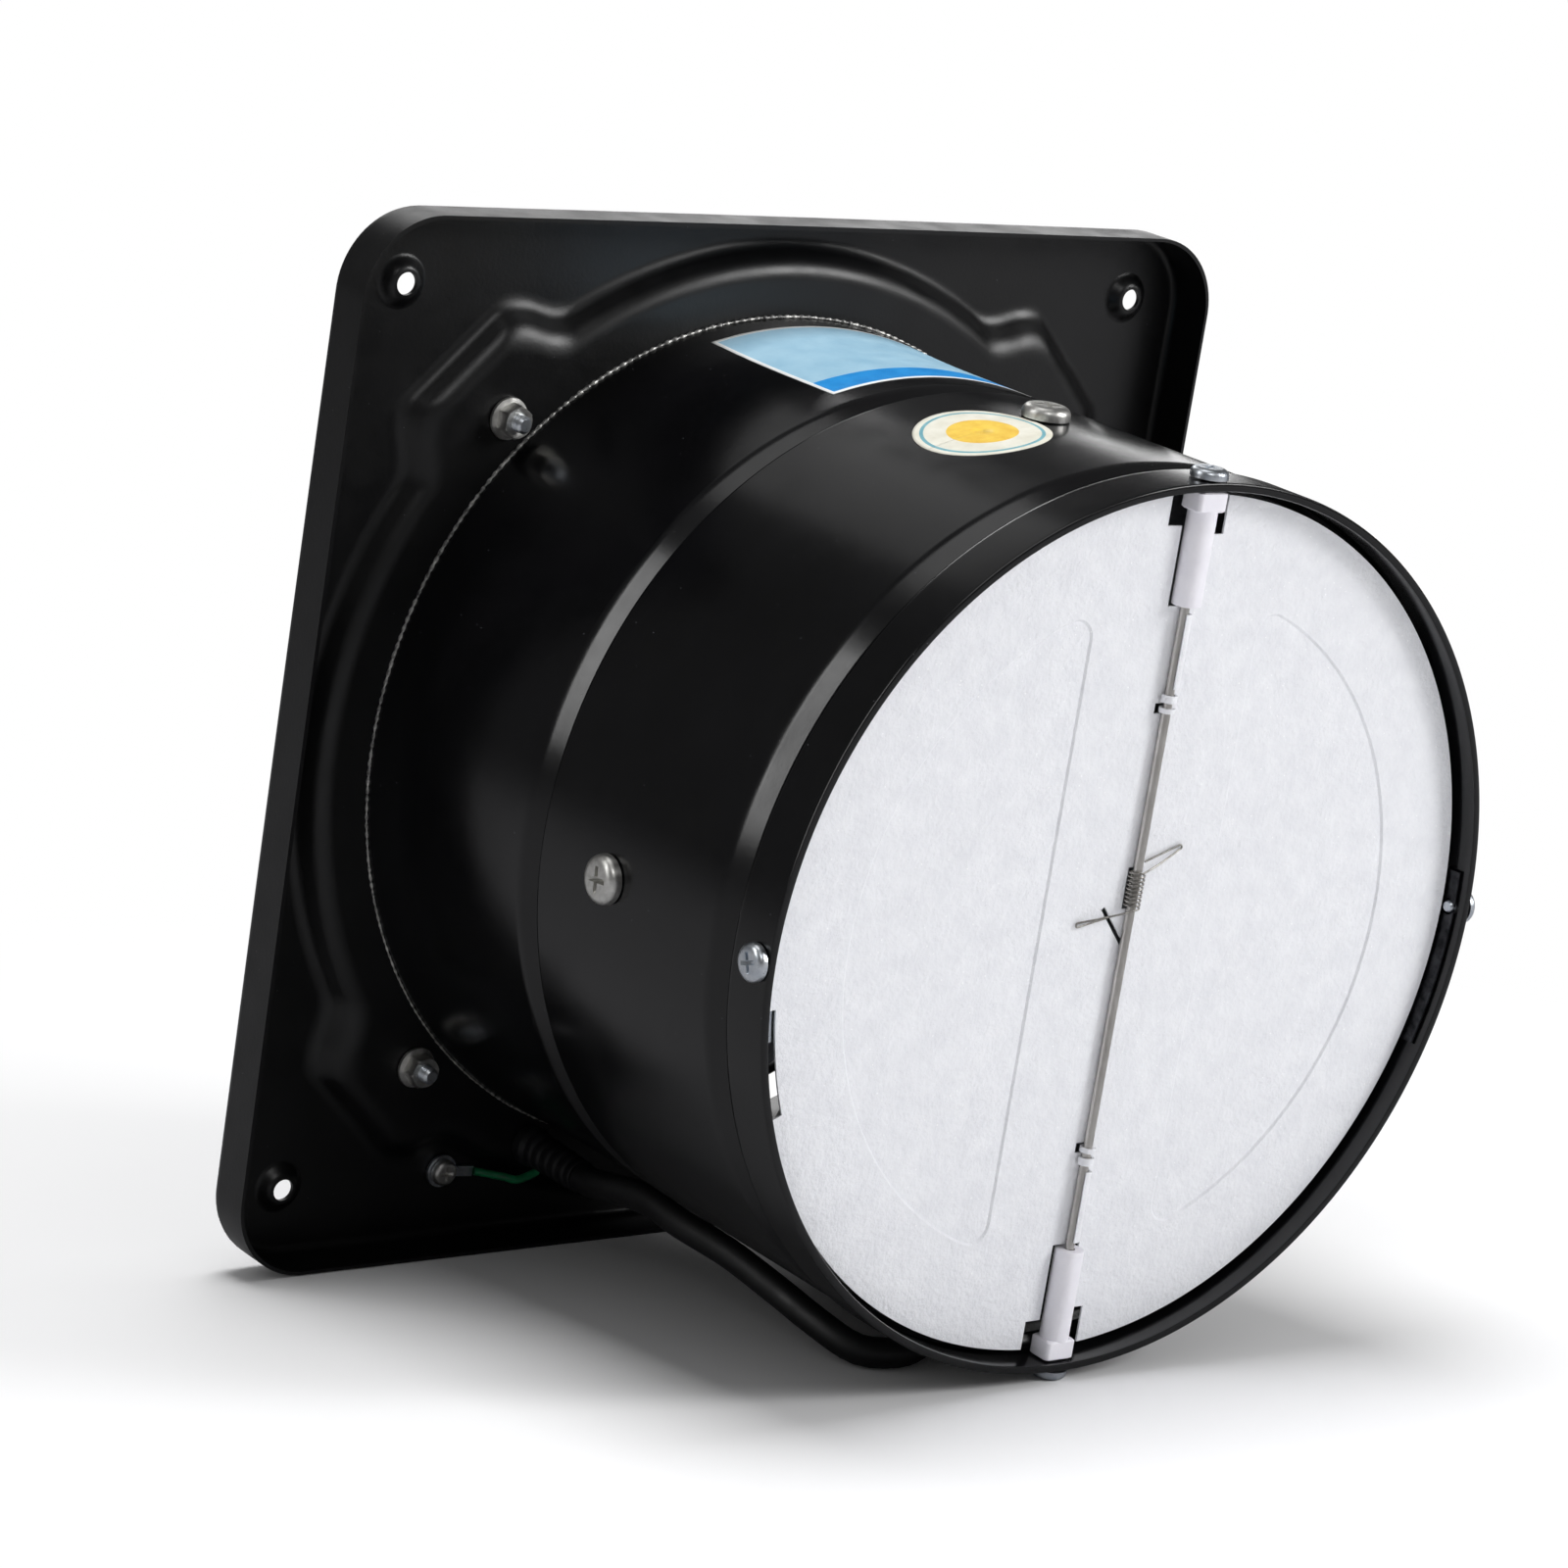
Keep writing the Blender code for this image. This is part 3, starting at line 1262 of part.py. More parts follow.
spring_points = []
for share in leg_shares:
    spring_points.append(leg_point(-spring_left_leg, -spring_left_drop, share) + Vector((0, 0, spring_start)))
for i in range(spring_turns * points_per_turn + 1):
    turn = radians(-90) + 2 * pi * i / points_per_turn
    rise = spring_start + spring_pitch * i / points_per_turn
    spring_points.append(Vector((coil_mean * cos(turn), coil_mean * sin(turn), rise)))
for share in reversed(leg_shares):
    spring_points.append(leg_point(spring_right_leg, spring_right_lift, share) + Vector((0, 0, spring_top)))
hairpin = spring_points[-1] + Vector((0, 0, hairpin_radius))
leg_slope = atan2(spring_right_lift, spring_right_leg)
for turn in [radians(-90) + leg_slope + radians(36) * i for i in range(1, 6)]:
    spring_points.append(hairpin + hairpin_radius * Vector((cos(turn), 0, sin(turn))))
back = Vector((-cos(leg_slope), 0, -sin(leg_slope))) * spring_return_leg
spring_points.append(spring_points[-1] + back)
bm = bmesh.new()
tube(bm, [rod_home + point for point in spring_points], spring_wire / 2, 5)
add("torsion_spring", bm, spring_steel, home=rod_home)
spring_gap = least_gap(spring_points, spring_wire, 3 * coil_mean)
print("torsion spring's least gap to itself, mm:", round(spring_gap / mm, 3))


# Lead sleeve through the plate, tapered toward the lead

sleeve_base = centre_wall + seat_gap
sleeve_tip = sleeve_base + sleeve_length
sleeve_mean_width = (sleeve_base_width + sleeve_tip_width) / 2
profile = [
    (0, sleeve_end),
    (sleeve_back_width / 2, sleeve_end),
    (sleeve_back_width / 2, sleeve_back),
    (sleeve_neck_width / 2, sleeve_back),
    (sleeve_neck_width / 2, sleeve_base),
    (sleeve_base_width / 2, sleeve_base),
    (sleeve_base_width / 2, sleeve_base + sleeve_length * 0.12),
    (sleeve_mean_width / 2, sleeve_base + sleeve_length * 0.2),
    (sleeve_tip_width / 2, sleeve_tip),
    (0, sleeve_tip),
]
sleeve_place = on_plate(sleeve_radius, sleeve_angle)
bm = bmesh.new()
turned(bm, profile, 16, sleeve_place)
add("lead_sleeve", bm, black_rubber)


# Mains lead: along the duct's lower left, down to the floor, round under the duct and out to the coil

lead_radius = lead_width / 2
lead_height = lead_radius + floor_gap
lead_start = fan_to_floor @ sleeve_place @ Vector((0, 0, sleeve_tip + seat_gap))
lead_straight = fan_to_floor @ sleeve_place @ Vector((0, 0, sleeve_tip + seat_gap + lead_width / 2))
coil_centre = Vector((coil_x, coil_y, 0))
coil_start = coil_centre + Vector((-lead_width, -coil_radius, lead_height))
lead_end = coil_start - Vector((seat_gap, 0, 0))
lead_level = lead_end - Vector((lead_width, 0, 0))
lead_route = [
    lead_straight,
    (-0.0425, 0.0314, 0.0228),
    (-0.0433, 0.0163, 0.0206),
    (-0.0424, -0.0009, 0.0177),
    (-0.0412, -0.0170, 0.0132),
    (-0.0390, -0.0310, 0.0081),
    (-0.0355, -0.0400, 0.0044),
    (-0.0290, -0.0440, lead_height),
    (-0.0210, -0.0425, lead_height),
    (-0.0130, -0.0365, lead_height),
    (-0.0050, -0.0280, lead_height),
    (0.0030, -0.0180, lead_height),
    (0.0100, -0.0070, lead_height),
    (0.0160, 0.0040, lead_height),
    (0.0230, 0.0150, lead_height),
    (0.0330, 0.0260, lead_height),
    (0.0480, 0.0370, lead_height),
    (0.0690, 0.0455, lead_height),
    (0.0950, 0.0498, lead_height),
    (0.1250, 0.0508, lead_height),
    lead_level,
    lead_end,
]
lead_points, lead_length = smooth_path(lead_route, lead_spacing_share * lead_width)
cord("mains_lead", [lead_start, *lead_points], lead_width, black_rubber, 3)

# Coil of the unseen length: in on the floor, up a layer where the spiral reverses, and out on top
coil_pitch = lead_width + coil_turn_gap
coil_turns = coil_turns_per_layer
climb_turns = 0.5


def coil_place(turns):
    """Radius and height of the coil's middle line after so many turns."""
    climbed = min(1, max(0, (turns - coil_turns) / climb_turns))
    inward = turns if turns < coil_turns + climb_turns / 2 else 2 * coil_turns + climb_turns - turns
    return coil_radius - coil_pitch * inward, lead_height + coil_pitch * climbed


coil_points = [coil_start]
for i in range(round((2 * coil_turns + climb_turns) * coil_points_per_turn) + 1):
    turns = i / coil_points_per_turn
    turn = radians(-90) + 2 * pi * turns
    radius, height = coil_place(turns)
    coil_points.append(coil_centre + Vector((radius * cos(turn), radius * sin(turn), height)))
coil_end = coil_points[-1] - Vector((lead_width, 0, 0))
coil_points.append(coil_end)
bm = bmesh.new()
tube(bm, coil_points, lead_radius, 6)
add("lead_coil", bm, black_rubber, carrier=None)
coil_gap = least_gap(coil_points, lead_width, 6 * lead_width)
coil_length = sum((two - one).length for one, two in zip(coil_points, coil_points[1:]))
print("lead coil's least gap to itself, mm:", round(coil_gap / mm, 3))
print("lead's length, m:", round(lead_length + coil_length, 3))

# Plug on the floor beyond the coil's end, with three flat pins
plug_start = coil_end - Vector((seat_gap, 0, 0))
plug_middle = plug_height / 2 + floor_gap
body_shares = [(0, 0.62, 0.72), (0.12, 0.82, 0.86), (0.4, 0.97, 1), (0.88, 1, 1), (1, 0.95, 0.94)]
relief = [(0, plug_relief_start_width, plug_start.z), (plug_relief_length, plug_relief_width, plug_middle)]
sections = []
for along, width, height in relief:
    box = rounded_box(width, width, plug_relief_corner)
    sections.append([(plug_start.x - along, plug_start.y + x, height + y) for x, y in box])
for share, width_share, height_share in body_shares:
    box = rounded_box(plug_width * width_share, plug_height * height_share, plug_corner)
    along = plug_relief_length + plug_length * share
    sections.append([(plug_start.x - along, plug_start.y + x, plug_middle + y) for x, y in box])
bm = bmesh.new()
loft(bm, sections)
add("plug", bm, plug_plastic, carrier=None)

pin_face = plug_start.x - plug_relief_length - plug_length - seat_gap
pins = (
    ("front_pin", -pin_spread / 2, pin_rise, -pin_lean, pin_length),
    ("back_pin", pin_spread / 2, pin_rise, pin_lean, pin_length),
    ("earth_pin", 0, -pin_drop, 0, earth_pin_length),
)
for name, across, rise, lean, length in pins:
    spot = Matrix.Translation((pin_face, plug_start.y + across, plug_middle + rise))
    place = spot @ Matrix.Rotation(radians(-90), 4, "Y") @ Matrix.Rotation(lean, 4, "Z")
    rows = [(1, 1, 0), (1, 1, 0.85), (0.75, 0.6, 1)]
    outlines = []
    for width_share, sheet_share, share in rows:
        box = rounded_box(pin_width * width_share, pin_sheet * sheet_share, pin_corner * sheet_share, 3)
        outlines.append([(x, y, length * share) for x, y in box])
    bm = bmesh.new()
    loft(bm, outlines, place)
    add(name, bm, pin_brass, carrier=None)


# Motor lead: from the sleeve's back over the duct's lip, under the guard, to the motor's room cap


def at_sleeve(radius, reach):
    return Vector((radius * cos(sleeve_angle), -reach, radius * sin(sleeve_angle)))


arch_middle = sleeve_radius - motor_lead_bend
arch_turns = [radians(30) * i for i in range(7)]
arch_points = [at_sleeve(sleeve_radius, motor_lead_start)]
for turn in arch_turns:
    radius = arch_middle + motor_lead_bend * cos(turn)
    arch_points.append(at_sleeve(radius, arch_foot - motor_lead_bend * sin(turn)))
motor_lead_route = [
    at_sleeve(arch_middle - motor_lead_bend, lip_wall + motor_lead_bend),
    at_sleeve(duct_bore * 0.94, motor_lead_bend),
    at_sleeve(duct_bore * 0.84, room_cap_face * 0.45),
    at_sleeve(duct_bore * 0.66, room_cap_face * 0.62),
    at_sleeve(duct_bore * 0.48, room_cap_face * 0.6),
    at_sleeve(motor_lead_entry / 2 + motor_lead_width, room_cap_face - motor_lead_bend * 1.6),
    at_sleeve(motor_lead_entry / 2 + motor_lead_width * 0.2, room_cap_face - motor_lead_bend * 0.8),
    at_sleeve(motor_lead_entry / 2, room_cap_face - seat_gap),
]
motor_lead_points, motor_lead_length = smooth_path(motor_lead_route, 1.5 * motor_lead_width)
cord("motor_lead", [*arch_points, *motor_lead_points], motor_lead_width, black_rubber, 2, fan)


# Earth lead from beside the sleeve to a tag under a screw on the plate

tag_wall = plate_wall + seat_gap
tag_outlet = tag_wall + tag_sheet
tag_radius = tag_width / 2
tail_half = tag_tail_width / 2
tail_root = atan(tail_half / tag_radius)
tag_end = tag_radius + tag_tail_length
tag_place = on_plate(earth_screw_radius, earth_screw_angle) @ Matrix.Rotation(tag_turn, 4, "Z")
ear_steps = 16
ear = [tail_root + (2 * pi - 2 * tail_root) * i / ear_steps for i in range(ear_steps + 1)]
outline = [(tag_radius * cos(turn), tag_radius * sin(turn)) for turn in ear]
outline += [(tag_end, -tail_half), (tag_end, tail_half)]
bm = bmesh.new()
prism(bm, outline, tag_wall, tag_outlet, tag_place)
earth_tag = add("earth_tag", bm, zinc)
hole = bmesh.new()
drill(hole, earth_hole, tag_wall - cut_overrun, tag_outlet + cut_overrun, 12, tag_place)
change(earth_tag, hole, "DIFFERENCE")

earth_seat = tag_outlet + seat_gap
earth_screw_length = earth_seat - plate_room + earth_screw_proud
bm = screw_body(earth_screw_head_width, earth_screw_head_height, earth_screw_shank, earth_screw_length, 12)
place = on_plate(earth_screw_radius, earth_screw_angle, earth_seat)
bmesh.ops.transform(bm, matrix=place, verts=bm.verts)
add("earth_screw", bm, bright_steel)

earth_radius = earth_wire / 2
sleeve_spot = sleeve_place.translation
wire_start = tag_place @ Vector((tag_end + seat_gap, 0, plate_wall + seat_gap + earth_radius))
wire_second = tag_place @ Vector((tag_end + seat_gap + earth_wire, 0, plate_wall + seat_gap + earth_wire))
wire_side = Vector((0.3, 0, -1)).normalized()
wire_level = Vector((0, -sleeve_base - earth_wire, 0))
sleeve_side = sleeve_spot + wire_level + wire_side * (sleeve_base_width / 2 + seat_gap)
sleeve_below = sleeve_spot + wire_level + wire_side * (sleeve_base_width / 2 + earth_wire * 0.9)
wire_bend_shares = [(0.26, plate_wall, 3.4, 0), (0.55, centre_wall, 1, 0.5)]
wire_bends = []
for share, level, lift_share, drop_share in wire_bend_shares:
    spot = wire_second.lerp(sleeve_below, share)
    wire_bends.append((spot.x, -level - lift_share * earth_wire, spot.z - drop_share * earth_wire))
earth_route = [
    wire_start,
    wire_second,
    *wire_bends,
    sleeve_below,
    sleeve_side,
]
earth_points, earth_length = smooth_path(earth_route, 0.8 * earth_wire)
cord("earth_lead", earth_points, earth_wire, green_sheath, 2, fan)
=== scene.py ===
from math import acos, atan, atan2, ceil, cos, pi, radians, sin, sqrt, tan
from types import SimpleNamespace

import bmesh
import bpy
import numpy as np
from mathutils import Matrix, Vector


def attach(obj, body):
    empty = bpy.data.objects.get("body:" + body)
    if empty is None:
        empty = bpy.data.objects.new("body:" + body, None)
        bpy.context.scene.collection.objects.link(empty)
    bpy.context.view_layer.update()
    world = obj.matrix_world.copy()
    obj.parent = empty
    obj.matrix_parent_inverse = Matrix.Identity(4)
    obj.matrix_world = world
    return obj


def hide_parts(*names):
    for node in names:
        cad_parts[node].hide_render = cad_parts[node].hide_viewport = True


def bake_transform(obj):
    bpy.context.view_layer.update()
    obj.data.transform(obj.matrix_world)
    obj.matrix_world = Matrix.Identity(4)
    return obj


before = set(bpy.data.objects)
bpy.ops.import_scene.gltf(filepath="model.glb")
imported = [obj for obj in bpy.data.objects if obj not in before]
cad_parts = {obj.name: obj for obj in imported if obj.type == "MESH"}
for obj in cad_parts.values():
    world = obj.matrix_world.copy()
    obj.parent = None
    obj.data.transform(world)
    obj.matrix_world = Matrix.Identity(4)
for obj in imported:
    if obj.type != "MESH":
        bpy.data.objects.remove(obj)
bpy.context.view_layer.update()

# Each piece's dictionary is in millimetres and degrees, and sized turns its lengths into metres
mm = 0.001

# The fan's own frame: X right from the outlet, Z up along the flap rod, Y minus the reach from the wall.
# It stands leaning on the plate's lower edge and the lower rim screw.
standValues = {"lean": 8.2722473, "back": 59.3528, "up": 123.6994}
fanToFloor = Matrix.Translation((0, standValues["back"] * mm, standValues["up"] * mm)) @ Matrix.Rotation(
    radians(standValues["lean"]), 4, "X"
)
alongReach = Matrix.Rotation(radians(90), 4, "X")
quarterTurns = [radians(90) * i for i in range(4)]
diagonals = [radians(45) + turn for turn in quarterTurns]

# Camera at the photograph's place: left of the outlet, looking slightly down
cameraValues = {
    "place": (-0.73460, -0.87819, 0.29646),
    "forward": (0.616262, 0.772920, -0.151060),
    "up": (0.042194, 0.159130, 0.986360),
    "lens": 116.2,
}
camera = bpy.data.objects.new("camera", bpy.data.cameras.new("camera"))
bpy.context.collection.objects.link(camera)
camera.data.lens = cameraValues["lens"]
camera.data.sensor_width = 36
camera.data.clip_start = 0.05
forward = Vector(cameraValues["forward"]).normalized()
side = forward.cross(Vector(cameraValues["up"])).normalized()
camera.matrix_world = Matrix.Translation(cameraValues["place"]) @ Matrix(
    (side, side.cross(forward), -forward)
).transposed().to_4x4()
bpy.context.scene.camera = camera
print("camera placed")


# Shared helpers


def sized(values):
    return SimpleNamespace(**{name: value * mm for name, value in values.items()})


def linear(code):
    # Linear colour from an sRGB hex code
    parts = [int(code[i : i + 2], 16) / 255 for i in (1, 3, 5)]
    return (*[part / 12.92 if part <= 0.04045 else ((part + 0.055) / 1.055) ** 2.4 for part in parts], 1)


def addNode(tree, kind, settings=None, links=None):
    # Settings are the node's own properties or its sockets' values, and links are outputs for its sockets
    made = tree.nodes.new(kind)
    for key, value in (settings or {}).items():
        if isinstance(key, str) and hasattr(made, key):
            setattr(made, key, value)
        else:
            made.inputs[key].default_value = value
    for key, source in (links or {}).items():
        tree.links.new(source, made.inputs[key])
    return made


def surface(values):
    # A coat or metal with cloudy colour, uneven gloss, fine relief and, where it has them, specks and lines
    made = bpy.data.materials.new(values["name"])
    made.use_nodes = True
    tree = made.node_tree
    shader = tree.nodes["Principled BSDF"]
    place = addNode(tree, "ShaderNodeTexCoord").outputs["Object"]
    settings = {"Scale": values.get("stretch", (1, 1, 1))}
    stretched = addNode(tree, "ShaderNodeMapping", settings, {"Vector": place}).outputs[0]
    patterns = []
    for size, detail in (
        (values["cloud"], 5.0),
        (values.get("glossCloud", values["cloud"] * 0.35), 5.0),
        (values["grain"], 3.0),
    ):
        settings = {"Scale": 1 / (size * mm), "Detail": detail, "Roughness": 0.6}
        patterns.append(addNode(tree, "ShaderNodeTexNoise", settings, {"Vector": stretched}).outputs["Fac"])
    cloud, gloss, height = patterns
    settings = {"From Min": 0.32, "From Max": 0.68}  # Most of the noise's values lie between these
    patches = addNode(tree, "ShaderNodeMapRange", settings, {"Value": cloud}).outputs[0]
    settings = {"data_type": "RGBA", 6: linear(values["dark"]), 7: linear(values["light"])}
    colour = addNode(tree, "ShaderNodeMix", settings, {0: patches}).outputs[2]
    smooth, dull = values["rough"]
    settings = {"From Min": 0.3, "From Max": 0.7, "To Min": smooth, "To Max": dull}
    rough = addNode(tree, "ShaderNodeMapRange", settings, {"Value": gloss}).outputs[0]
    if "specks" in values:
        # A dot in the middle of some of the cells
        settings = {"Scale": 1 / (values["speckGap"] * mm)}
        cells = addNode(tree, "ShaderNodeTexVoronoi", settings, {"Vector": place})
        share, chance = values["speckShare"], values["speckChance"]
        settings = {"From Min": share, "From Max": share * 0.5}
        near = addNode(tree, "ShaderNodeMapRange", settings, {"Value": cells.outputs["Distance"]}).outputs[0]
        drawn = addNode(tree, "ShaderNodeSeparateColor", links={"Color": cells.outputs["Color"]}).outputs[0]
        settings = {"From Min": chance, "From Max": chance + 0.2, "To Min": 1.0, "To Max": 0.0}
        chosen = addNode(tree, "ShaderNodeMapRange", settings, {"Value": drawn}).outputs[0]
        shown = addNode(tree, "ShaderNodeMath", {"operation": "MULTIPLY"}, {0: near, 1: chosen}).outputs[0]
        settings = {"data_type": "RGBA", 7: linear(values["specks"])}
        colour = addNode(tree, "ShaderNodeMix", settings, {0: shown, 6: colour}).outputs[2]
    if "lines" in values:
        settings = {
            "wave_type": values["lineKind"], "bands_direction": "Y", "rings_direction": "Y",
            "Scale": 0.314 / (values["lines"] * mm),  # A wave of scale 1 repeats every 0.314 m
            "Distortion": values.get("lineWander", 0.4),
        }
        wave = addNode(tree, "ShaderNodeTexWave", settings, {"Vector": place}).outputs["Fac"]
        settings = {"data_type": "RGBA", 6: linear(values["dark"])}
        colour = addNode(tree, "ShaderNodeMix", settings, {0: wave, 7: colour}).outputs[2]
        height = addNode(tree, "ShaderNodeMath", {"operation": "ADD"}, {0: height, 1: wave}).outputs[0]
    settings = {"Strength": 1.0, "Distance": values["relief"] * mm}
    bump = addNode(tree, "ShaderNodeBump", settings, {"Height": height}).outputs[0]
    for socket, source in (("Base Color", colour), ("Roughness", rough), ("Normal", bump)):
        tree.links.new(source, shader.inputs[socket])
    shader.inputs["Metallic"].default_value = values.get("metallic", 0.0)
    return made


# Satin film of the labels' and the sticker's grounds, and a slightly smoother one where ink lies
groundFilm = {"rough": (0.35, 0.48), "grain": 0.6, "relief": 0.008}
inkedFilm = {"rough": (0.33, 0.46), "grain": 0.6, "relief": 0.008}
# Names with an underscore are the record's slots, and the others are looks of the picture alone. Sizes in
# millimetres: cloud and grain are how wide the patches and the relief are, relief is its height.
surfaceValues = {
    # Black baked enamel on pressed steel: deep satin black, soft-edged highlights, a little dust
    "black_paint": {
        "name": "bakedEnamel", "dark": "#060607", "light": "#0B0B0D", "cloud": 38, "rough": (0.17, 0.24),
        "grain": 1.1, "relief": 0.008, "specks": "#5F6064", "speckGap": 3.4, "speckShare": 0.045,
        "speckChance": 0.35,
    },
    # The same enamel on the pressed plate: orange-peel grain makes its highlights wide and soft
    "platePaint": {
        "name": "orangePeelEnamel", "dark": "#070708", "light": "#0C0C0E", "cloud": 30, "rough": (0.33, 0.43),
        "grain": 0.9, "relief": 0.03, "specks": "#5F6064", "speckGap": 3.4, "speckShare": 0.04,
        "speckChance": 0.3,
    },
    # Black dipped enamel on drawn wire: a little glossier, with sags along the wire
    "guard_paint": {
        "name": "dippedEnamel", "dark": "#0C0C0E", "light": "#17171A", "cloud": 14, "rough": (0.22, 0.34),
        "grain": 2.2, "relief": 0.03,
    },
    # Zinc plate of the right stop, coloured smoky grey-black as painted shade where it lies in shadow,
    # unevenly clouded
    "darkZinc": {
        "name": "passivatedZinc", "dark": "#1A1A1C", "light": "#4A4B4E", "cloud": 3, "rough": (0.3, 0.45),
        "grain": 0.4, "relief": 0.01, "metallic": 1.0,
    },
    # Bright zinc plating on steel: cool bluish metal, fine grain and clouded gloss
    "zinc": {
        "name": "brightZincPlate", "dark": "#CDD5DF", "light": "#F0F4F8", "cloud": 2.5, "rough": (0.26, 0.42),
        "grain": 0.25, "relief": 0.01, "metallic": 1.0,
    },
    # Nickel-bright machined steel: warm-neutral metal broken by fine turning marks
    "bright_steel": {
        "name": "machinedSteel", "dark": "#D2D1CD", "light": "#F3F2EE", "cloud": 2.0, "rough": (0.32, 0.48),
        "grain": 0.3, "relief": 0.008, "metallic": 1.0,
    },
    # Drawn steel rod: grey metal with long fine draw lines and a warm tinge
    "rod_steel": {
        "name": "drawnSteel", "dark": "#C4C0BB", "light": "#E2DFDA", "cloud": 7, "stretch": (3, 3, 0.6),
        "rough": (0.3, 0.44), "grain": 0.4, "relief": 0.008, "metallic": 1.0,
    },
    # Oil-tempered spring wire: darker brownish-grey metal, uneven sheen
    "spring_steel": {
        "name": "temperedSpringWire", "dark": "#8C8984", "light": "#C2BFB9", "cloud": 1.2,
        "rough": (0.28, 0.42), "grain": 0.3, "relief": 0.006, "metallic": 1.0,
    },
    # Powder-coated sheet: cold grey-white, softly hammered, with tiny bright sparkles
    "flap_coat": {
        "name": "hammeredPowderCoat", "dark": "#E3E4E9", "light": "#EBECF0", "cloud": 6, "glossCloud": 1.4,
        "rough": (0.4, 0.62), "grain": 1.5, "relief": 0.4, "specks": "#F8F9FB", "speckGap": 1.9,
        "speckShare": 0.12, "speckChance": 0.45,
    },
    # Moulded white nylon: milky, faintly lilac, with a satin skin
    "white_nylon": {
        "name": "mouldedNylon", "dark": "#E8E6EE", "light": "#F3F1F7", "cloud": 9, "rough": (0.32, 0.46),
        "grain": 0.9, "relief": 0.01,
    },
    # Bare pressed aluminium blades: soft grey metal, faint rolling lines, fingerprints in the gloss
    "blade_metal": {
        "name": "pressedAluminium", "dark": "#9C9FA3", "light": "#C3C6C9", "cloud": 16, "glossCloud": 7,
        "rough": (0.3, 0.46), "grain": 0.5, "stretch": (1, 1, 5), "relief": 0.008, "metallic": 1.0,
    },
    # Dark grey sprayed paint on the motor's castings: sandy texture under a satin film
    "motor_paint": {
        "name": "sprayedCastingPaint", "dark": "#1B1B1E", "light": "#2A2A2E", "cloud": 8,
        "rough": (0.38, 0.52), "grain": 0.9, "relief": 0.05,
    },
    # Stacked core sheets: dull steel with fine lines where the sheets meet
    "core_steel": {
        "name": "stackedCoreSteel", "dark": "#3A3A3C", "light": "#6C6D70", "cloud": 4, "rough": (0.4, 0.55),
        "grain": 0.5, "relief": 0.05, "metallic": 1.0, "lines": 0.5, "lineKind": "BANDS",
    },
    # Varnished winding wire: amber copper strands side by side
    "copper": {
        "name": "varnishedCopperWire", "dark": "#5E2410", "light": "#B5612E", "cloud": 3,
        "rough": (0.26, 0.42), "grain": 0.6, "relief": 0.09, "metallic": 1.0, "lines": 0.6,
        "lineKind": "RINGS", "lineWander": 2.0,
    },
    # Black extruded rubber sheath: charcoal, matt with a faint oily sheen and a fine leathery grain
    "black_rubber": {
        "name": "extrudedRubber", "dark": "#0D0D0E", "light": "#17171A", "cloud": 11, "rough": (0.42, 0.58),
        "grain": 0.5, "relief": 0.02, "specks": "#3C3C40", "speckGap": 3.1, "speckShare": 0.05,
        "speckChance": 0.3,
    },
    # Green extruded PVC of the earth wire: deep green, smooth and slightly glossy
    "green_sheath": {
        "name": "extrudedGreenPvc", "dark": "#044A2C", "light": "#076B40", "cloud": 5, "rough": (0.3, 0.45),
        "grain": 0.7, "relief": 0.01,
    },
    # Moulded PVC plug: hard and black with a spark-eroded skin
    "plug_plastic": {
        "name": "mouldedPvc", "dark": "#0E0E0F", "light": "#19191B", "cloud": 9, "rough": (0.34, 0.5),
        "grain": 0.35, "relief": 0.02,
    },
    # Nickel-washed brass pins: pale yellow metal, rubbed along their length
    "pin_brass": {
        "name": "nickelWashedBrass", "dark": "#A8966A", "light": "#D6CBA8", "cloud": 2,
        "stretch": (0.5, 4, 4), "rough": (0.22, 0.38), "grain": 0.3, "relief": 0.008, "metallic": 1.0,
    },
    # Enamel rubbed off the duct's crimped root: pale grey on black, partly bare metal and partly a painted
    # highlight
    "rubbedEdge": {
        "name": "rubbedEnamel", "dark": "#2A2A2C", "light": "#D5D4D0", "cloud": 1.3, "rough": (0.3, 0.5),
        "grain": 0.5, "relief": 0.05, "metallic": 0.6,
    },
    # White vinyl film at the label's edge: soft satin
    "labelWhite": {"name": "whiteVinyl", "dark": "#E4E6E6", "light": "#F4F5F4", "cloud": 6, **groundFilm},
    # The label's pale blue ink, faintly clouded
    "labelPale": {"name": "paleBlueInk", "dark": "#8FB9D1", "light": "#A4C9DD", "cloud": 9, **inkedFilm},
    # The label's stronger blue band
    "labelBlue": {"name": "blueInk", "dark": "#167BC4", "light": "#2A93DA", "cloud": 7, **inkedFilm},
    # The round sticker's cream paper ground
    "stickerCream": {"name": "creamPaper", "dark": "#D9D6C6", "light": "#EAE8DC", "cloud": 5, **groundFilm},
    # The round sticker's thin sea-green ring
    "stickerGreen": {"name": "seaGreenInk", "dark": "#5D9AA8", "light": "#7FB6C0", "cloud": 4, **groundFilm},
    # The round sticker's yellow middle
    "stickerYellow": {"name": "yellowInk", "dark": "#E3B53A", "light": "#F2CF57", "cloud": 4, **inkedFilm},
}
surfaces = {slot: surface(values) for slot, values in surfaceValues.items()}
print("surfaces made:", len(surfaces))


def meshFrom(name, bm, slots, sharpAbove=38):
    bmesh.ops.recalc_face_normals(bm, faces=bm.faces)
    mesh = bpy.data.meshes.new(name)
    bm.to_mesh(mesh)
    bm.free()
    mesh.shade_smooth()
    mesh.set_sharp_from_angle(angle=radians(sharpAbove))
    for slot in slots:
        mesh.materials.append(surfaces[slot])
    return mesh


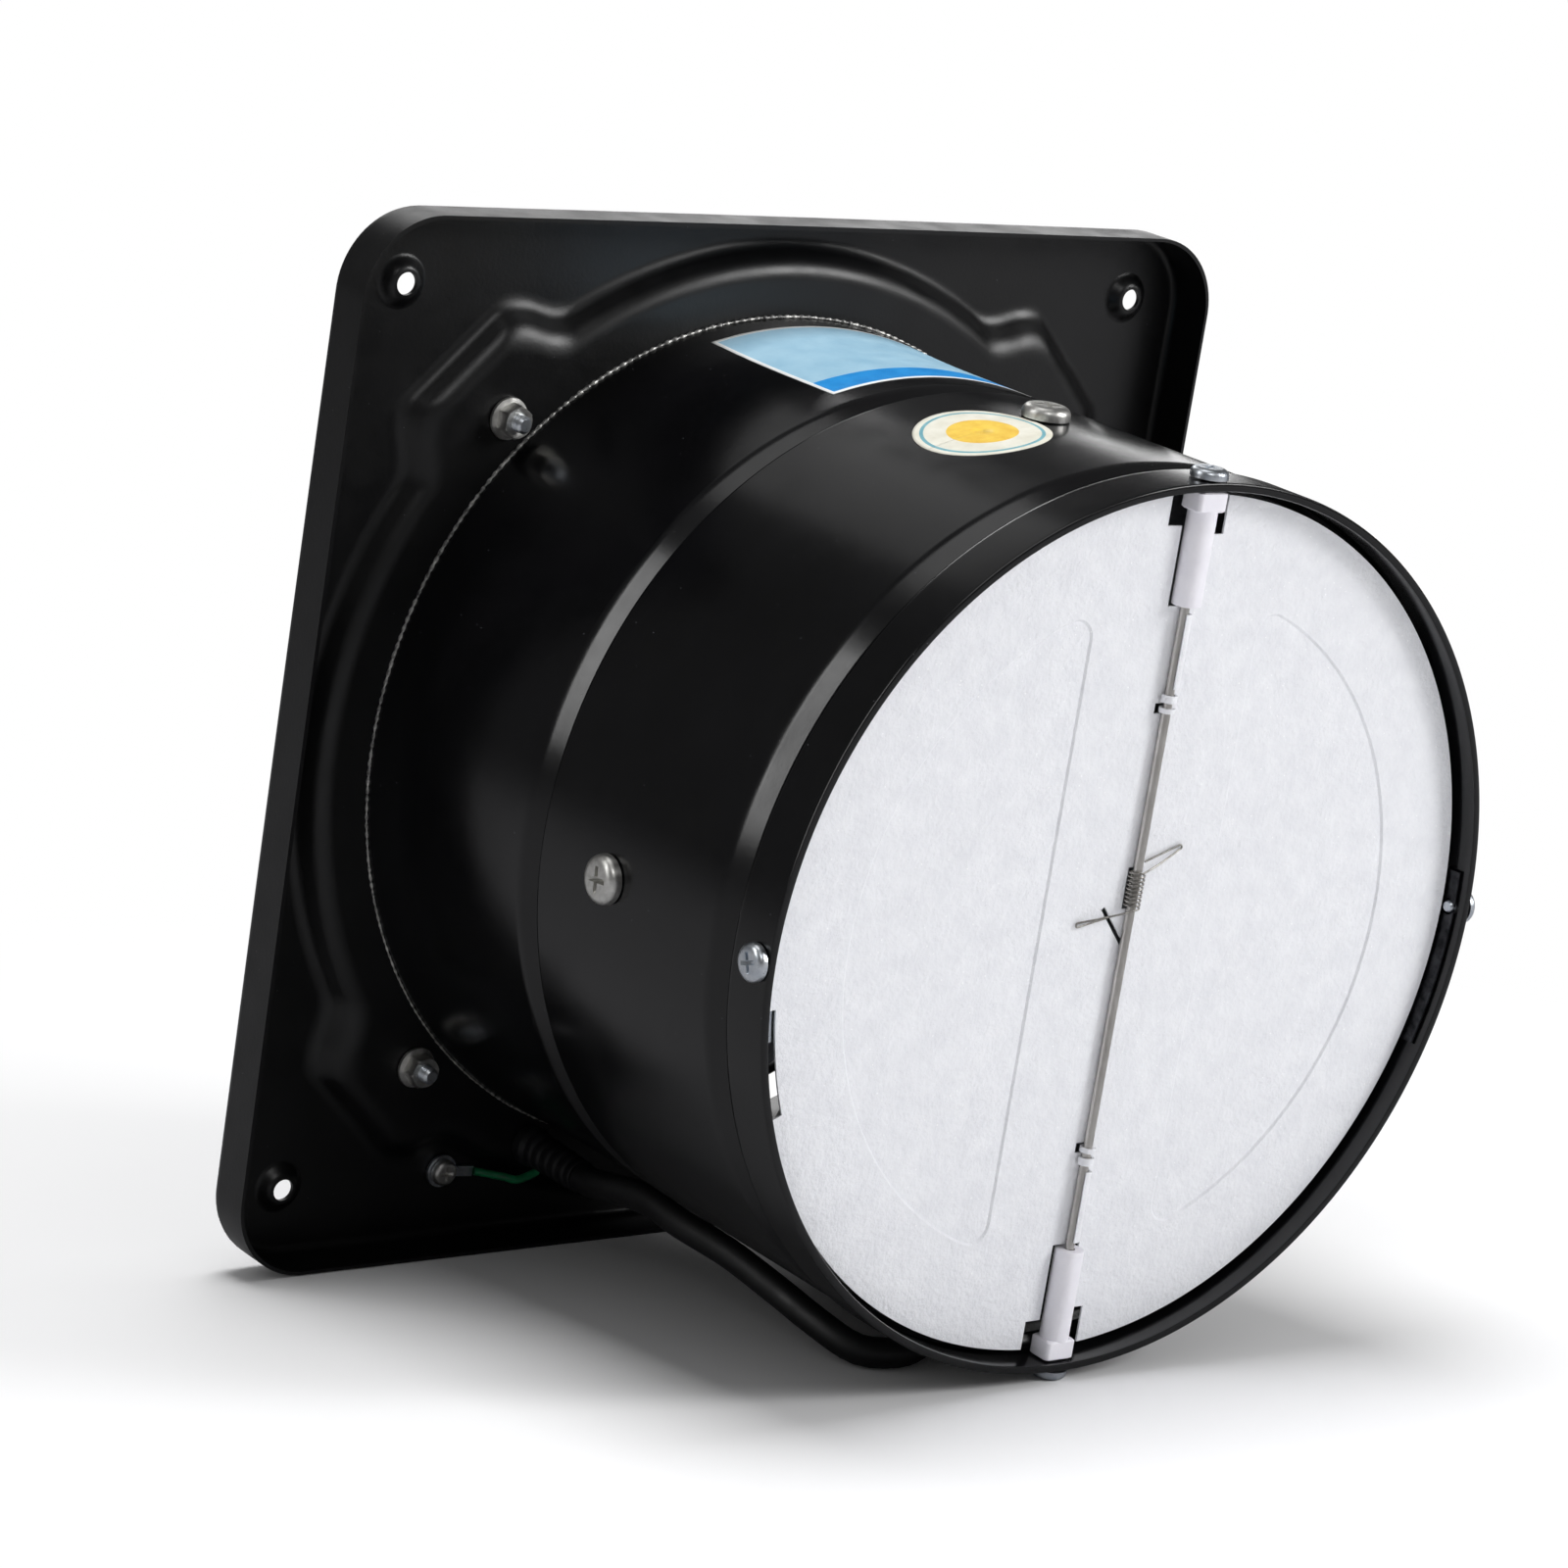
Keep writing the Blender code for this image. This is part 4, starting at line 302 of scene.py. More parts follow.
def show(name, data, body="housing", nodes=(), place=Matrix(), inFan=True, bend=()):
    # Links one piece in its place, hides the CAD nodes it stands for, and lets it ride on its body;
    # with a bend it is left unparented in place instead
    data.transform(fanToFloor @ place if inFan else place)
    made = bpy.data.objects.new(name, data)
    bpy.context.collection.objects.link(made)
    if nodes:
        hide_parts(*nodes)
    if made.type == "MESH":
        # Broad faces keep their own direction, so no highlight smears from a bend onto the flat beside it
        evened = made.modifiers.new("evened", "WEIGHTED_NORMAL")
        evened.keep_sharp = True
    if bend:
        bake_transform(made)
    else:
        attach(made, body)
    return made


def addPiece(name, bm, slot, body="housing", nodes=(), inFan=True, shownAs=None, sharpAbove=38):
    return show(name, meshFrom(name, bm, [shownAs or slot], sharpAbove), body, nodes, inFan=inFan)


def addCopies(name, bm, slot, node, places, body="housing"):
    mesh = meshFrom(name, bm, [slot])
    for number, place in enumerate(places, 1):
        show(f"{name}{number}", mesh.copy(), body, [f"{node}_{number}"], place)


def combined(bm, *changes):
    # Cuts closed bodies from a mesh, or joins them on, and gives back the finished mesh
    def temporary(part):
        mesh = bpy.data.meshes.new("temporary")
        bmesh.ops.recalc_face_normals(part, faces=part.faces)
        part.to_mesh(mesh)
        part.free()
        made = bpy.data.objects.new("temporary", mesh)
        bpy.context.collection.objects.link(made)
        return made

    piece = temporary(bm)
    helpers = []
    for operation, part in changes:
        helpers.append(temporary(part))
        step = piece.modifiers.new("step", "BOOLEAN")
        step.operation = operation
        step.solver = "EXACT"
        step.object = helpers[-1]
    graph = bpy.context.evaluated_depsgraph_get()
    mesh = bpy.data.meshes.new_from_object(piece.evaluated_get(graph))
    result = bmesh.new()
    result.from_mesh(mesh)
    for old in (piece, *helpers):
        data = old.data
        bpy.data.objects.remove(old)
        bpy.data.meshes.remove(data)
    bpy.data.meshes.remove(mesh)
    return result


def skin(bm, rings, closed):
    # Joins rings of points with faces, and caps the two ends unless the row of rings closes on itself
    pairs = list(zip(rings, rings[1:] + rings[:1] if closed else rings[1:]))
    faces = []
    for one, two in pairs:
        for i in range(len(one)):
            j = (i + 1) % len(one)
            corners = list(dict.fromkeys((one[i], one[j], two[j], two[i])))
            if len(corners) > 2:
                faces.append(bm.faces.new(corners))
    if not closed:
        bm.faces.new(rings[0])
        bm.faces.new(rings[-1])
    return faces


def loft(bm, sections, place=Matrix(), closed=False):
    skin(bm, [[bm.verts.new(place @ Vector(point)) for point in section] for section in sections], closed)


def prism(bm, outline, low, high, place=Matrix()):
    loft(bm, [[(x, y, height) for x, y in outline] for height in (low, high)], place)


def softened(points, radius, steps=4, closed=True):
    # Rounds the corners of a profile of radius and height, apart from those on the axis
    made = []
    count = len(points)
    for i, point in enumerate(points):
        if not closed and i in (0, count - 1) or point[0] == 0:
            made.append(point)
            continue
        here = Vector(point)
        before = Vector(points[i - 1]) - here
        after = Vector(points[(i + 1) % count]) - here
        reach = min(radius, before.length * 0.45, after.length * 0.45)
        start = here + before.normalized() * reach
        end = here + after.normalized() * reach
        for k in range(steps + 1):
            t = k / steps
            spot = start * (1 - t) ** 2 + here * 2 * t * (1 - t) + end * t**2
            made.append((spot.x, spot.y))
    return made


def turned(bm, profile, steps, place=Matrix(), start=0, sweep=2 * pi):
    # Turns a closed profile of radius and height about local Z
    whole = sweep == 2 * pi
    poles = {}
    rings = []
    for i in range(steps if whole else steps + 1):
        turn = start + sweep * i / steps
        ring = []
        for radius, height in profile:
            onAxis = radius == 0
            if onAxis and height in poles:
                ring.append(poles[height])
                continue
            corner = bm.verts.new(place @ Vector((radius * cos(turn), radius * sin(turn), height)))
            ring.append(corner)
            if onAxis:
                poles[height] = corner
        rings.append(ring)
    skin(bm, rings, whole)


def drill(bm, radius, low, high, steps, place=Matrix()):
    turned(bm, [(0, low), (radius, low), (radius, high), (0, high)], steps, place)


def polygon(radius, sides, start=0.0):
    turns = [start + 2 * pi * i / sides for i in range(sides)]
    return [(radius * cos(turn), radius * sin(turn)) for turn in turns]


def roundedBox(width, height, corner, perCorner=6):
    points = []
    for turnToCorner in diagonals:
        x = (width / 2 - corner) * (1 if cos(turnToCorner) > 0 else -1)
        y = (height / 2 - corner) * (1 if sin(turnToCorner) > 0 else -1)
        for i in range(perCorner):
            turn = turnToCorner - radians(45) + radians(90) * i / (perCorner - 1)
            points.append((x + corner * cos(turn), y + corner * sin(turn)))
    return points


def tube(bm, points, radius, sides):
    points = [Vector(point) for point in points]
    sections = []
    across = (points[1] - points[0]).orthogonal().normalized()
    for i, point in enumerate(points):
        ahead = (points[min(i + 1, len(points) - 1)] - points[max(i - 1, 0)]).normalized()
        across = (across - ahead * across.dot(ahead)).normalized()
        other = ahead.cross(across)
        sections.append([point + radius * (across * x + other * y) for x, y in polygon(1, sides)])
    loft(bm, sections)


def smoothPath(marks, spacing):
    # Even points on a smooth curve through given marks
    marks = [np.array(mark, float) for mark in marks]
    ends = [2 * marks[0] - marks[1]] + marks + [2 * marks[-1] - marks[-2]]
    fine = []
    for before, one, two, after in zip(ends, ends[1:], ends[2:], ends[3:]):
        for t in np.linspace(0, 1, 40, endpoint=False):
            straight = 2 * one + (two - before) * t
            bend = (2 * before - 5 * one + 4 * two - after) * t**2
            twist = (3 * one - before - 3 * two + after) * t**3
            fine.append((straight + bend + twist) / 2)
    fine = np.array(fine + [marks[-1]])
    run = np.concatenate([[0], np.cumsum(np.linalg.norm(np.diff(fine, axis=0), axis=1))])
    even = np.linspace(0, run[-1], max(2, ceil(run[-1] / spacing)) + 1)
    return [Vector([np.interp(spot, run, fine[:, axis]) for axis in range(3)]) for spot in even]


def cordCurve(name, points, width, slot):
    curve = bpy.data.curves.new(name, "CURVE")
    curve.dimensions = "3D"
    curve.bevel_depth = width / 2
    curve.bevel_resolution = 6
    curve.use_fill_caps = True
    spline = curve.splines.new("POLY")
    spline.points.add(len(points) - 1)
    for spot, point in zip(spline.points, points):
        spot.co = (*point, 1)
    spline.use_smooth = True
    curve.materials.append(surfaces[slot])
    return curve


def onDuct(angle, reach, radius):
    # Place on the duct at an angle, with local Z pointing straight out of its wall
    return Matrix.Rotation(radians(90) - angle, 4, "Y") @ Matrix.Translation((0, -reach, radius))


def onPlate(radius, angle, reach=0.0, facingRoom=False):
    # Place on the plate, with local Z toward the outlet or toward the room
    spot = Matrix.Translation((radius * cos(angle), -reach, radius * sin(angle)))
    return spot @ Matrix.Rotation(radians(-90 if facingRoom else 90), 4, "X")


seat = 0.3 * mm  # Gap between pieces that touch
through = 1 * mm  # How far a cutter runs past what it cuts

# Mains lead and its strain relief: down the duct's lower left, over the floor and into a coil behind the duct
leadValues = {
    "width": 7.0, "floorGap": 0.1, "coilRight": 178.0, "coilBack": 96.0, "coilRadius": 45.1, "coilGap": 0.6,
    "sleeveRadius": 108.6, "sleeveBase": -5.7, "sleeveTip": 16.3, "spacing": 3.0,
}
lead = sized(leadValues)
sleeveAngle = radians(-112.5)
sleevePlace = onPlate(lead.sleeveRadius, sleeveAngle)
height = lead.width / 2 + lead.floorGap
leadStart = fanToFloor @ sleevePlace @ Vector((0, 0, lead.sleeveTip + seat))
leadStraight = fanToFloor @ sleevePlace @ Vector((0, 0, lead.sleeveTip + seat + lead.width / 2))
coilCentre = Vector((lead.coilRight, lead.coilBack, 0))
coilStart = coilCentre + Vector((-lead.width, -lead.coilRadius, height))
# Marks on the lead's way from the sleeve to the coil, in metres from the frame's origin
leadRoute = [
    leadStraight,
    (-0.0425, 0.0314, 0.0228),
    (-0.0433, 0.0163, 0.0206),
    (-0.0424, -0.0009, 0.0177),
    (-0.0412, -0.0170, 0.0132),
    (-0.0390, -0.0310, 0.0081),
    (-0.0355, -0.0400, 0.0044),
    (-0.0290, -0.0440, height),
    (-0.0210, -0.0425, height),
    (-0.0130, -0.0365, height),
    (-0.0050, -0.0280, height),
    (0.0030, -0.0180, height),
    (0.0100, -0.0070, height),
    (0.0160, 0.0040, height),
    (0.0230, 0.0150, height),
    (0.0330, 0.0260, height),
    (0.0480, 0.0370, height),
    (0.0690, 0.0455, height),
    (0.0950, 0.0498, height),
    (0.1250, 0.0508, height),
    (0.1637, 0.0508, height),
    coilStart,
]
coilTurns = 2
climbTurns = 0.5
pointsPerTurn = 48
coilPitch = lead.width + lead.coilGap
coilRoute = []
for i in range(round((2 * coilTurns + climbTurns) * pointsPerTurn) + 1):
    turns = i / pointsPerTurn
    turn = radians(-90) + 2 * pi * turns
    climbed = min(1, max(0, (turns - coilTurns) / climbTurns))
    inward = turns if turns < coilTurns + climbTurns / 2 else 2 * coilTurns + climbTurns - turns
    radius = lead.coilRadius - coilPitch * inward
    level = height + coilPitch * climbed
    coilRoute.append(coilCentre + Vector((radius * cos(turn), radius * sin(turn), level)))
coilEnd = coilRoute[-1] - Vector((lead.width, 0, 0))
leadPoints = [leadStart, *smoothPath(leadRoute, lead.spacing), *coilRoute, coilEnd]
mainsLead = show(
    "mainsLead",
    cordCurve("mainsLead", leadPoints, lead.width, "black_rubber"),
    nodes=["mains_lead", "lead_coil"],
    inFan=False,
)

# Plug: soft strain relief with rings, body with a grip waist, and three flat pins
plugValues = {
    "relief": 22.0, "reliefStart": 8.0, "reliefEnd": 10.5, "length": 38.0, "width": 33.0, "height": 21.6,
    "corner": 5.0, "pinWidth": 6.3, "pinSheet": 1.6, "pinLength": 17.0, "earthLength": 20.0,
    "pinSpread": 13.7, "pinRise": 3.0, "pinDrop": 5.5, "pinCorner": 0.4, "ridge": 0.45,
}
plug = sized(plugValues)
plugStart = coilEnd - Vector((seat, 0, 0))
plugMiddle = plug.height / 2 + lead.floorGap
sections = []
reliefRings = 7
for i in range(reliefRings * 4 + 1):
    share = i / (reliefRings * 4)
    groove = 0 if i % 4 < 2 else 2 * plug.ridge
    width = plug.reliefStart + (plug.reliefEnd - plug.reliefStart) * share - groove
    level = plugStart.z + (plugMiddle - plugStart.z) * share
    box = roundedBox(width, width, width * 0.42)
    sections.append([(plugStart.x - plug.relief * share, plugStart.y + x, level + y) for x, y in box])
# Shares of the body's length, width and height, from the lead to the pins
bodyShares = [
    (0.0, 0.62, 0.72), (0.04, 0.72, 0.8), (0.12, 0.82, 0.86), (0.26, 0.92, 0.95), (0.4, 0.97, 1),
    (0.6, 1, 1), (0.88, 1, 1), (0.96, 0.985, 0.98), (1, 0.95, 0.94),
]
for share, widthShare, heightShare in bodyShares:
    box = roundedBox(plug.width * widthShare, plug.height * heightShare, plug.corner)
    along = plug.relief + plug.length * share
    sections.append([(plugStart.x - along, plugStart.y + x, plugMiddle + y) for x, y in box])
bm = bmesh.new()
loft(bm, sections)
plugBody = addPiece("plugBody", bm, "plug_plastic", nodes=["plug"], inFan=False)
pinFace = plugStart.x - plug.relief - plug.length - seat
for name, node, across, rise, turn, length in (
    ("frontPin", "front_pin", -plug.pinSpread / 2, plug.pinRise, radians(-30), plug.pinLength),
    ("backPin", "back_pin", plug.pinSpread / 2, plug.pinRise, radians(30), plug.pinLength),
    ("earthPin", "earth_pin", 0, -plug.pinDrop, 0, plug.earthLength),
):
    spot = Matrix.Translation((pinFace, plugStart.y + across, plugMiddle + rise))
    place = spot @ Matrix.Rotation(radians(-90), 4, "Y") @ Matrix.Rotation(turn, 4, "Z")
    rows = [(1, 1, 0), (1, 1, 0.85), (0.95, 0.9, 0.93), (0.75, 0.6, 1)]  # Shares of width, sheet and length
    outlines = []
    for widthShare, sheetShare, share in rows:
        corner = plug.pinCorner * sheetShare
        box = roundedBox(plug.pinWidth * widthShare, plug.pinSheet * sheetShare, corner, 5)
        outlines.append([(x, y, length * share) for x, y in box])
    bm = bmesh.new()
    loft(bm, outlines, place)
    addPiece(name, bm, "pin_brass", nodes=[node], inFan=False)

# Sleeve where the lead passes the plate, with moulded rings toward its tip
sleeveValues = {
    "barb": 4.5, "barbLow": -8.5, "barbHigh": -7.3, "neck": 3.7, "collar": 5.0, "collarHeight": 2.6,
    "ring": 4.5, "ringTaper": 0.1, "ringStart": 4.0, "ringPitch": 3.2, "ringHeight": 2.7, "ringDepth": 0.5,
    "tipRoot": 4.0, "tip": 3.8, "tipHeight": 0.4, "round": 0.3,
}
sleeve = sized(sleeveValues)
profile = [
    (0, sleeve.barbLow),
    (sleeve.barb, sleeve.barbLow),
    (sleeve.barb, sleeve.barbHigh),
    (sleeve.neck, sleeve.barbHigh),
    (sleeve.neck, lead.sleeveBase),
    (sleeve.collar, lead.sleeveBase),
    (sleeve.collar, lead.sleeveBase + sleeve.collarHeight),
]
sleeveRings = 5
for i in range(sleeveRings):
    low = lead.sleeveBase + sleeve.ringStart + i * sleeve.ringPitch
    high = low + sleeve.ringHeight
    radius = sleeve.ring - sleeve.ringTaper * i
    root = radius - sleeve.ringDepth
    profile += [
        (root, low),
        (radius, low + sleeve.ringDepth),
        (radius, high - sleeve.ringDepth),
        (root, high),
    ]
profile += [
    (sleeve.tipRoot, lead.sleeveTip - sleeve.tipHeight),
    (sleeve.tip, lead.sleeveTip),
    (0, lead.sleeveTip),
]
bm = bmesh.new()
turned(bm, softened(profile, sleeve.round, 3), 40, sleevePlace)
addPiece("leadSleeve", bm, "black_rubber", nodes=["lead_sleeve"])

# Wall plate: flat pressed sheet, edge turned toward the wall, raised centre with a tab on each diagonal
plateValues = {
    "half": 124.95, "corner": 20.0, "sheet": 1.0, "edgeBend": 2.0, "wallLevel": -12.0, "centreLevel": -6.0,
    "centreRadius": 113.8, "slope": 4.4, "tabReach": 124.4, "tabEnd": 29.0, "tabRoot": 40.0, "bore": 102.4,
    "bend": 3.1, "bendRun": 9.0, "wallRun": 4.6, "edgeRun": 10.0, "mountInset": 17.7, "mountHole": 2.6,
    "bossRadius": 6.4, "bossRise": 2.4, "bossEase": 0.5, "dishInset": 0.6, "dishTaper": 0.3,
    "guardBolt": 110.0, "guardHole": 2.3, "guardScrewSeat": -9.1, "guardNutSeat": -5.7, "sleeveHole": 4.0,
    "earthRadius": 124.0, "earthHole": 1.8,
}
plate = sized(plateValues)
earthAngle = radians(-120)
plateSteps = 720
plateTurns = [2 * pi * i / plateSteps for i in range(plateSteps)]


def squareRadius(angle, half, corner):
    # Distance from the middle to a rounded square
    turn = abs((angle + radians(45)) % radians(90) - radians(45))
    middle = half - corner
    if half * tan(turn) <= middle:
        return half / cos(turn)
    return middle * (cos(turn) + sin(turn)) + sqrt(corner**2 - middle**2 * (1 - sin(2 * turn)))


def centreOutline(angle, grow):
    # Distance from the middle to the pressed centre's edge: a circle with a tapered tab on each diagonal
    turn = abs(angle % radians(90) - radians(45))
    reach = plate.tabReach + grow
    endHalf = plate.tabEnd / 2 + grow
    rootHalf = plate.tabRoot / 2 + grow
    taper = (rootHalf - endHalf) / (plate.tabReach - plate.centreRadius)
    alongSide = (endHalf + taper * reach) / (tan(turn) + taper)
    return max(plate.centreRadius + grow, min(reach, alongSide) / cos(turn))


def centreLoop(grow, level):
    # The outline with its corners eased over a few degrees
    sharp = np.array([centreOutline(turn, grow) for turn in plateTurns])
    window = 9
    eased = sum(np.roll(sharp, k - window // 2) for k in range(window)) / window
    return [(radius, level) for radius in eased]


def squareLoop(grow, level):
    corner = max(2 * mm, plate.corner + grow)  # Never sharper than 2 mm
    return [(squareRadius(turn, plate.half + grow, corner), level) for turn in plateTurns]


offAxis = 1  # Added for softened, which leaves a point at zero sharp
slope = [
    (offAxis - plate.bendRun, plate.centreLevel),
    (offAxis, plate.centreLevel),
    (offAxis + plate.slope, plate.wallLevel),
    (offAxis + plate.slope + plate.wallRun, plate.wallLevel),
]
edge = [
    (offAxis - plate.edgeRun, plate.wallLevel),
    (offAxis - plate.sheet, plate.wallLevel),
    (offAxis - plate.sheet, 0),
]
loops = [[(plate.bore, plate.centreLevel)] * plateSteps]
loops += [centreLoop(x - offAxis, y) for x, y in softened(slope, plate.bend, 7, closed=False)[1:-1]]
loops += [squareLoop(x - offAxis, y) for x, y in softened(edge, plate.edgeBend, 6, closed=False)[1:]]
bm = bmesh.new()
rings = []
for loop in loops:
    rings.append([bm.verts.new((r * cos(a), -reach, r * sin(a))) for a, (r, reach) in zip(plateTurns, loop)])
backs = []
for loop, one, two in zip(loops, loops[:1] + loops[:-1], loops[1:] + loops[-1:]):
    back = []
    for i, turn in enumerate(plateTurns):
        along = Vector((two[i][0] - one[i][0], two[i][1] - one[i][1])).normalized()
        off = Vector((along.y, -along.x)) * plate.sheet
        r, reach = loop[i][0] + off.x, loop[i][1] + off.y
        back.append(bm.verts.new((r * cos(turn), -reach, r * sin(turn))))
    backs.append(back)
skin(bm, rings + list(reversed(backs)), closed=True)
bossTop = plate.wallLevel + plate.bossRise
bossFoot = plate.wallLevel - plate.sheet / 2
proud = 0.01 * mm  # Keeps the boss's foot off the plate's own face
bell = [(0, bossFoot), (plate.bossRadius, bossFoot)]
for i in range(9):
    share = i / 8
    radius = plate.bossRadius - (plate.bossRadius - plate.mountHole - plate.bossEase) * share
    bell.append((radius, plate.wallLevel + proud + plate.bossRise * (1 - cos(pi * share)) / 2))
bell.append((0, bossTop))
wallBack = plate.wallLevel - plate.sheet
dish = [
    (0, wallBack - through),
    (plate.bossRadius - plate.dishInset, wallBack - through),
    (plate.bossRadius - plate.dishInset - plate.dishTaper, wallBack),
    (plate.mountHole, bossTop - plate.sheet),
    (plate.mountHole, bossTop + through),
    (0, bossTop + through),
]
bosses = bmesh.new()
holes = bmesh.new()
mountRadius = (plate.half - plate.mountInset) * sqrt(2)
centreSpan = (plate.centreLevel - plate.sheet - through, plate.centreLevel + through)
for angle in diagonals:
    turned(bosses, bell, 48, onPlate(mountRadius, angle))
    turned(holes, dish, 48, onPlate(mountRadius, angle))
    drill(holes, plate.guardHole, *centreSpan, 24, onPlate(plate.guardBolt, angle))
drill(holes, plate.sleeveHole, *centreSpan, 32, sleevePlace)
wallSpan = (wallBack - through, plate.wallLevel + through)
drill(holes, plate.earthHole, *wallSpan, 24, onPlate(plate.earthRadius, earthAngle))
bm = combined(bm, ("UNION", bosses), ("DIFFERENCE", holes))
addPiece("wallPlate", bm, "black_paint", nodes=["wall_plate"], shownAs="platePaint")
print("wall plate made")

# Duct: one rolled sheet from the curled lip on the room side to the hem at the outlet
ductValues = {
    "radius": 101.0, "neck": 100.8, "sheet": 0.9, "reach": 144.4, "rim": 101.75, "hem": 99.75,
    "hemDepth": 6.5, "hemRound": 0.6, "flare": 1.3, "flareReach": 30.0, "lip": 1.1, "lipWall": -7.3,
    "lipRoom": -8.2, "neckGroove": 60.0, "neckSlope": 6.0, "rimGroove": 130.0, "rimSlope": 6.2,
    "grooveDepth": 1.6, "grooveStep": 0.7, "rimStep": 1.54, "cornerRound": 1.3, "screwReach": 86.0,
    "screwHole": 2.3, "rodReach": 140.2, "rimHole": 1.9, "holeLow": -4.0, "holeHigh": 1.5,
}
duct = sized(ductValues)
rootRadius = duct.neck + duct.flare
flareOutside = []
for share in (1, 0.8, 0.6, 0.4, 0.2, 0):
    reach = duct.flareReach + (plate.centreLevel - duct.flareReach) * share
    flareOutside.append((duct.neck + duct.flare * share**2, reach))
outside = [
    *flareOutside,
    (duct.neck, duct.neckGroove - duct.neckSlope),
    (duct.neck - duct.grooveDepth, duct.neckGroove - duct.grooveStep),
    (duct.neck - duct.grooveDepth, duct.neckGroove),
    (duct.radius, duct.neckGroove + duct.grooveStep),
    (duct.radius, duct.rimGroove - duct.rimSlope),
    (duct.radius - duct.grooveDepth, duct.rimGroove - duct.grooveStep),
    (duct.radius - duct.grooveDepth, duct.rimGroove),
    (duct.rim, duct.rimGroove + duct.rimStep),
    (duct.rim, duct.reach - duct.hemRound),
]
shell = softened(outside, duct.cornerRound, 5, closed=False)
ductReaches = [reach for radius, reach in shell]
ductRadii = [radius for radius, reach in shell]


def ductRadius(reach):
    return float(np.interp(reach, ductReaches, ductRadii))


hemEase = duct.hemRound * 0.3
profile = [
    (rootRadius + duct.lip, duct.lipRoom),
    (rootRadius + duct.lip, duct.lipWall),
    (rootRadius, duct.lipWall),
    *shell,
    (duct.rim - hemEase, duct.reach - hemEase),
    (duct.rim - duct.hemRound, duct.reach),
    (duct.hem + duct.hemRound, duct.reach),
    (duct.hem + hemEase, duct.reach - hemEase),
    (duct.hem, duct.reach - duct.hemRound),
    (duct.hem, duct.reach - duct.hemDepth),
    (duct.rim - duct.sheet, duct.reach - duct.hemDepth - duct.hemRound),
]
profile += [(radius - duct.sheet, reach) for radius, reach in reversed(shell[:-1])]
profile.append((rootRadius - duct.sheet * 0.7, duct.lipRoom))
bm = bmesh.new()
turned(bm, profile, 256, alongReach)
holes = bmesh.new()
for angle in quarterTurns:
    for hole, reach in ((duct.screwHole, duct.screwReach), (duct.rimHole, duct.rodReach)):
        drill(holes, hole, duct.holeLow, duct.holeHigh, 24, onDuct(angle, reach, duct.rim))
bm = combined(bm, ("DIFFERENCE", holes))
addPiece("duct", bm, "black_paint", nodes=["duct"])

# Crimped bead at the duct's root: fine uneven teeth, thickest at the upper left, pale grey as rubbed enamel
# and as a painted highlight
beadValues = {"radius": 102.3, "half": 0.42, "tooth": 0.16, "level": -5.75}
bead = sized(beadValues)
teeth = 300
leastBold, boldest = 0.55, radians(120)
bm = bmesh.new()
rings = []
for i in range(teeth * 4):
    turn = 2 * pi * i / (teeth * 4)
    tooth = bead.tooth * (sin(turn * teeth) + 0.5 * sin(turn * 37) * sin(turn * 13 + 1))
    radius = (bead.half + tooth) * (leastBold + (1 - leastBold) * max(0, cos(turn - boldest)))
    ring = []
    for x, y in polygon(radius, 8):
        r, reach = bead.radius + x, bead.level + y
        ring.append(bm.verts.new((r * cos(turn), -reach, r * sin(turn))))
    rings.append(ring)
skin(bm, rings, closed=True)
addPiece("rootBead", bm, "rubbedEdge")
print("duct made")


# Screws, nuts and their places


def threaded(radius, low, high, pitch, depth):
    # Rings of a thread up a shank, from a low end to a high end
    count = max(1, int((high - low) / pitch))
    points = []
    for i in range(count):
        foot = low + (high - low) * i / count
        step = (high - low) / count
        points += [(radius - depth, foot), (radius, foot + step * 0.35), (radius, foot + step * 0.65)]
    return [*points, (radius - depth, high)]


def panScrew(values):
    # Pan head with a cross recess above zero, and a threaded shank below
    s = sized(values)
    head = s.head / 2
    shank = s.shank / 2
    dome = [(head, 0), (head, s.height * 0.4)]
    for i in range(1, 7):
        share = i / 6
        dome.append((head * (1 - 0.4 * share**1.6), s.height * (0.4 + 0.6 * (1 - (1 - share) ** 2))))
    plain = 0.4 * mm  # Length without thread at each end
    thread = threaded(shank, -s.length + plain, -plain, s.pitch, s.pitch * 0.3)
    bm = bmesh.new()
    turned(bm, [(0, -s.length), (shank * 0.7, -s.length), *thread, (shank, 0), *dome, (0, s.height)], 48)
    cuts = []
    for turn in (0, radians(90)):
        cut = bmesh.new()
        # Shares of the recess's length and width at its floor and above the head
        rows = [(0.3, 0.45, s.height * 0.25), (1, 1, s.height + 0.3 * mm)]
        outlines = [
            [(x * long, y * wide, level) for x, y in ((-1, -1), (1, -1), (1, 1), (-1, 1))]
            for long, wide, level in [(s.recess * a, s.slot * b, level) for a, b, level in rows]
        ]
        loft(cut, outlines, Matrix.Rotation(turn, 4, "Z"))
        cuts.append(("DIFFERENCE", cut))
    return combined(bm, *cuts)


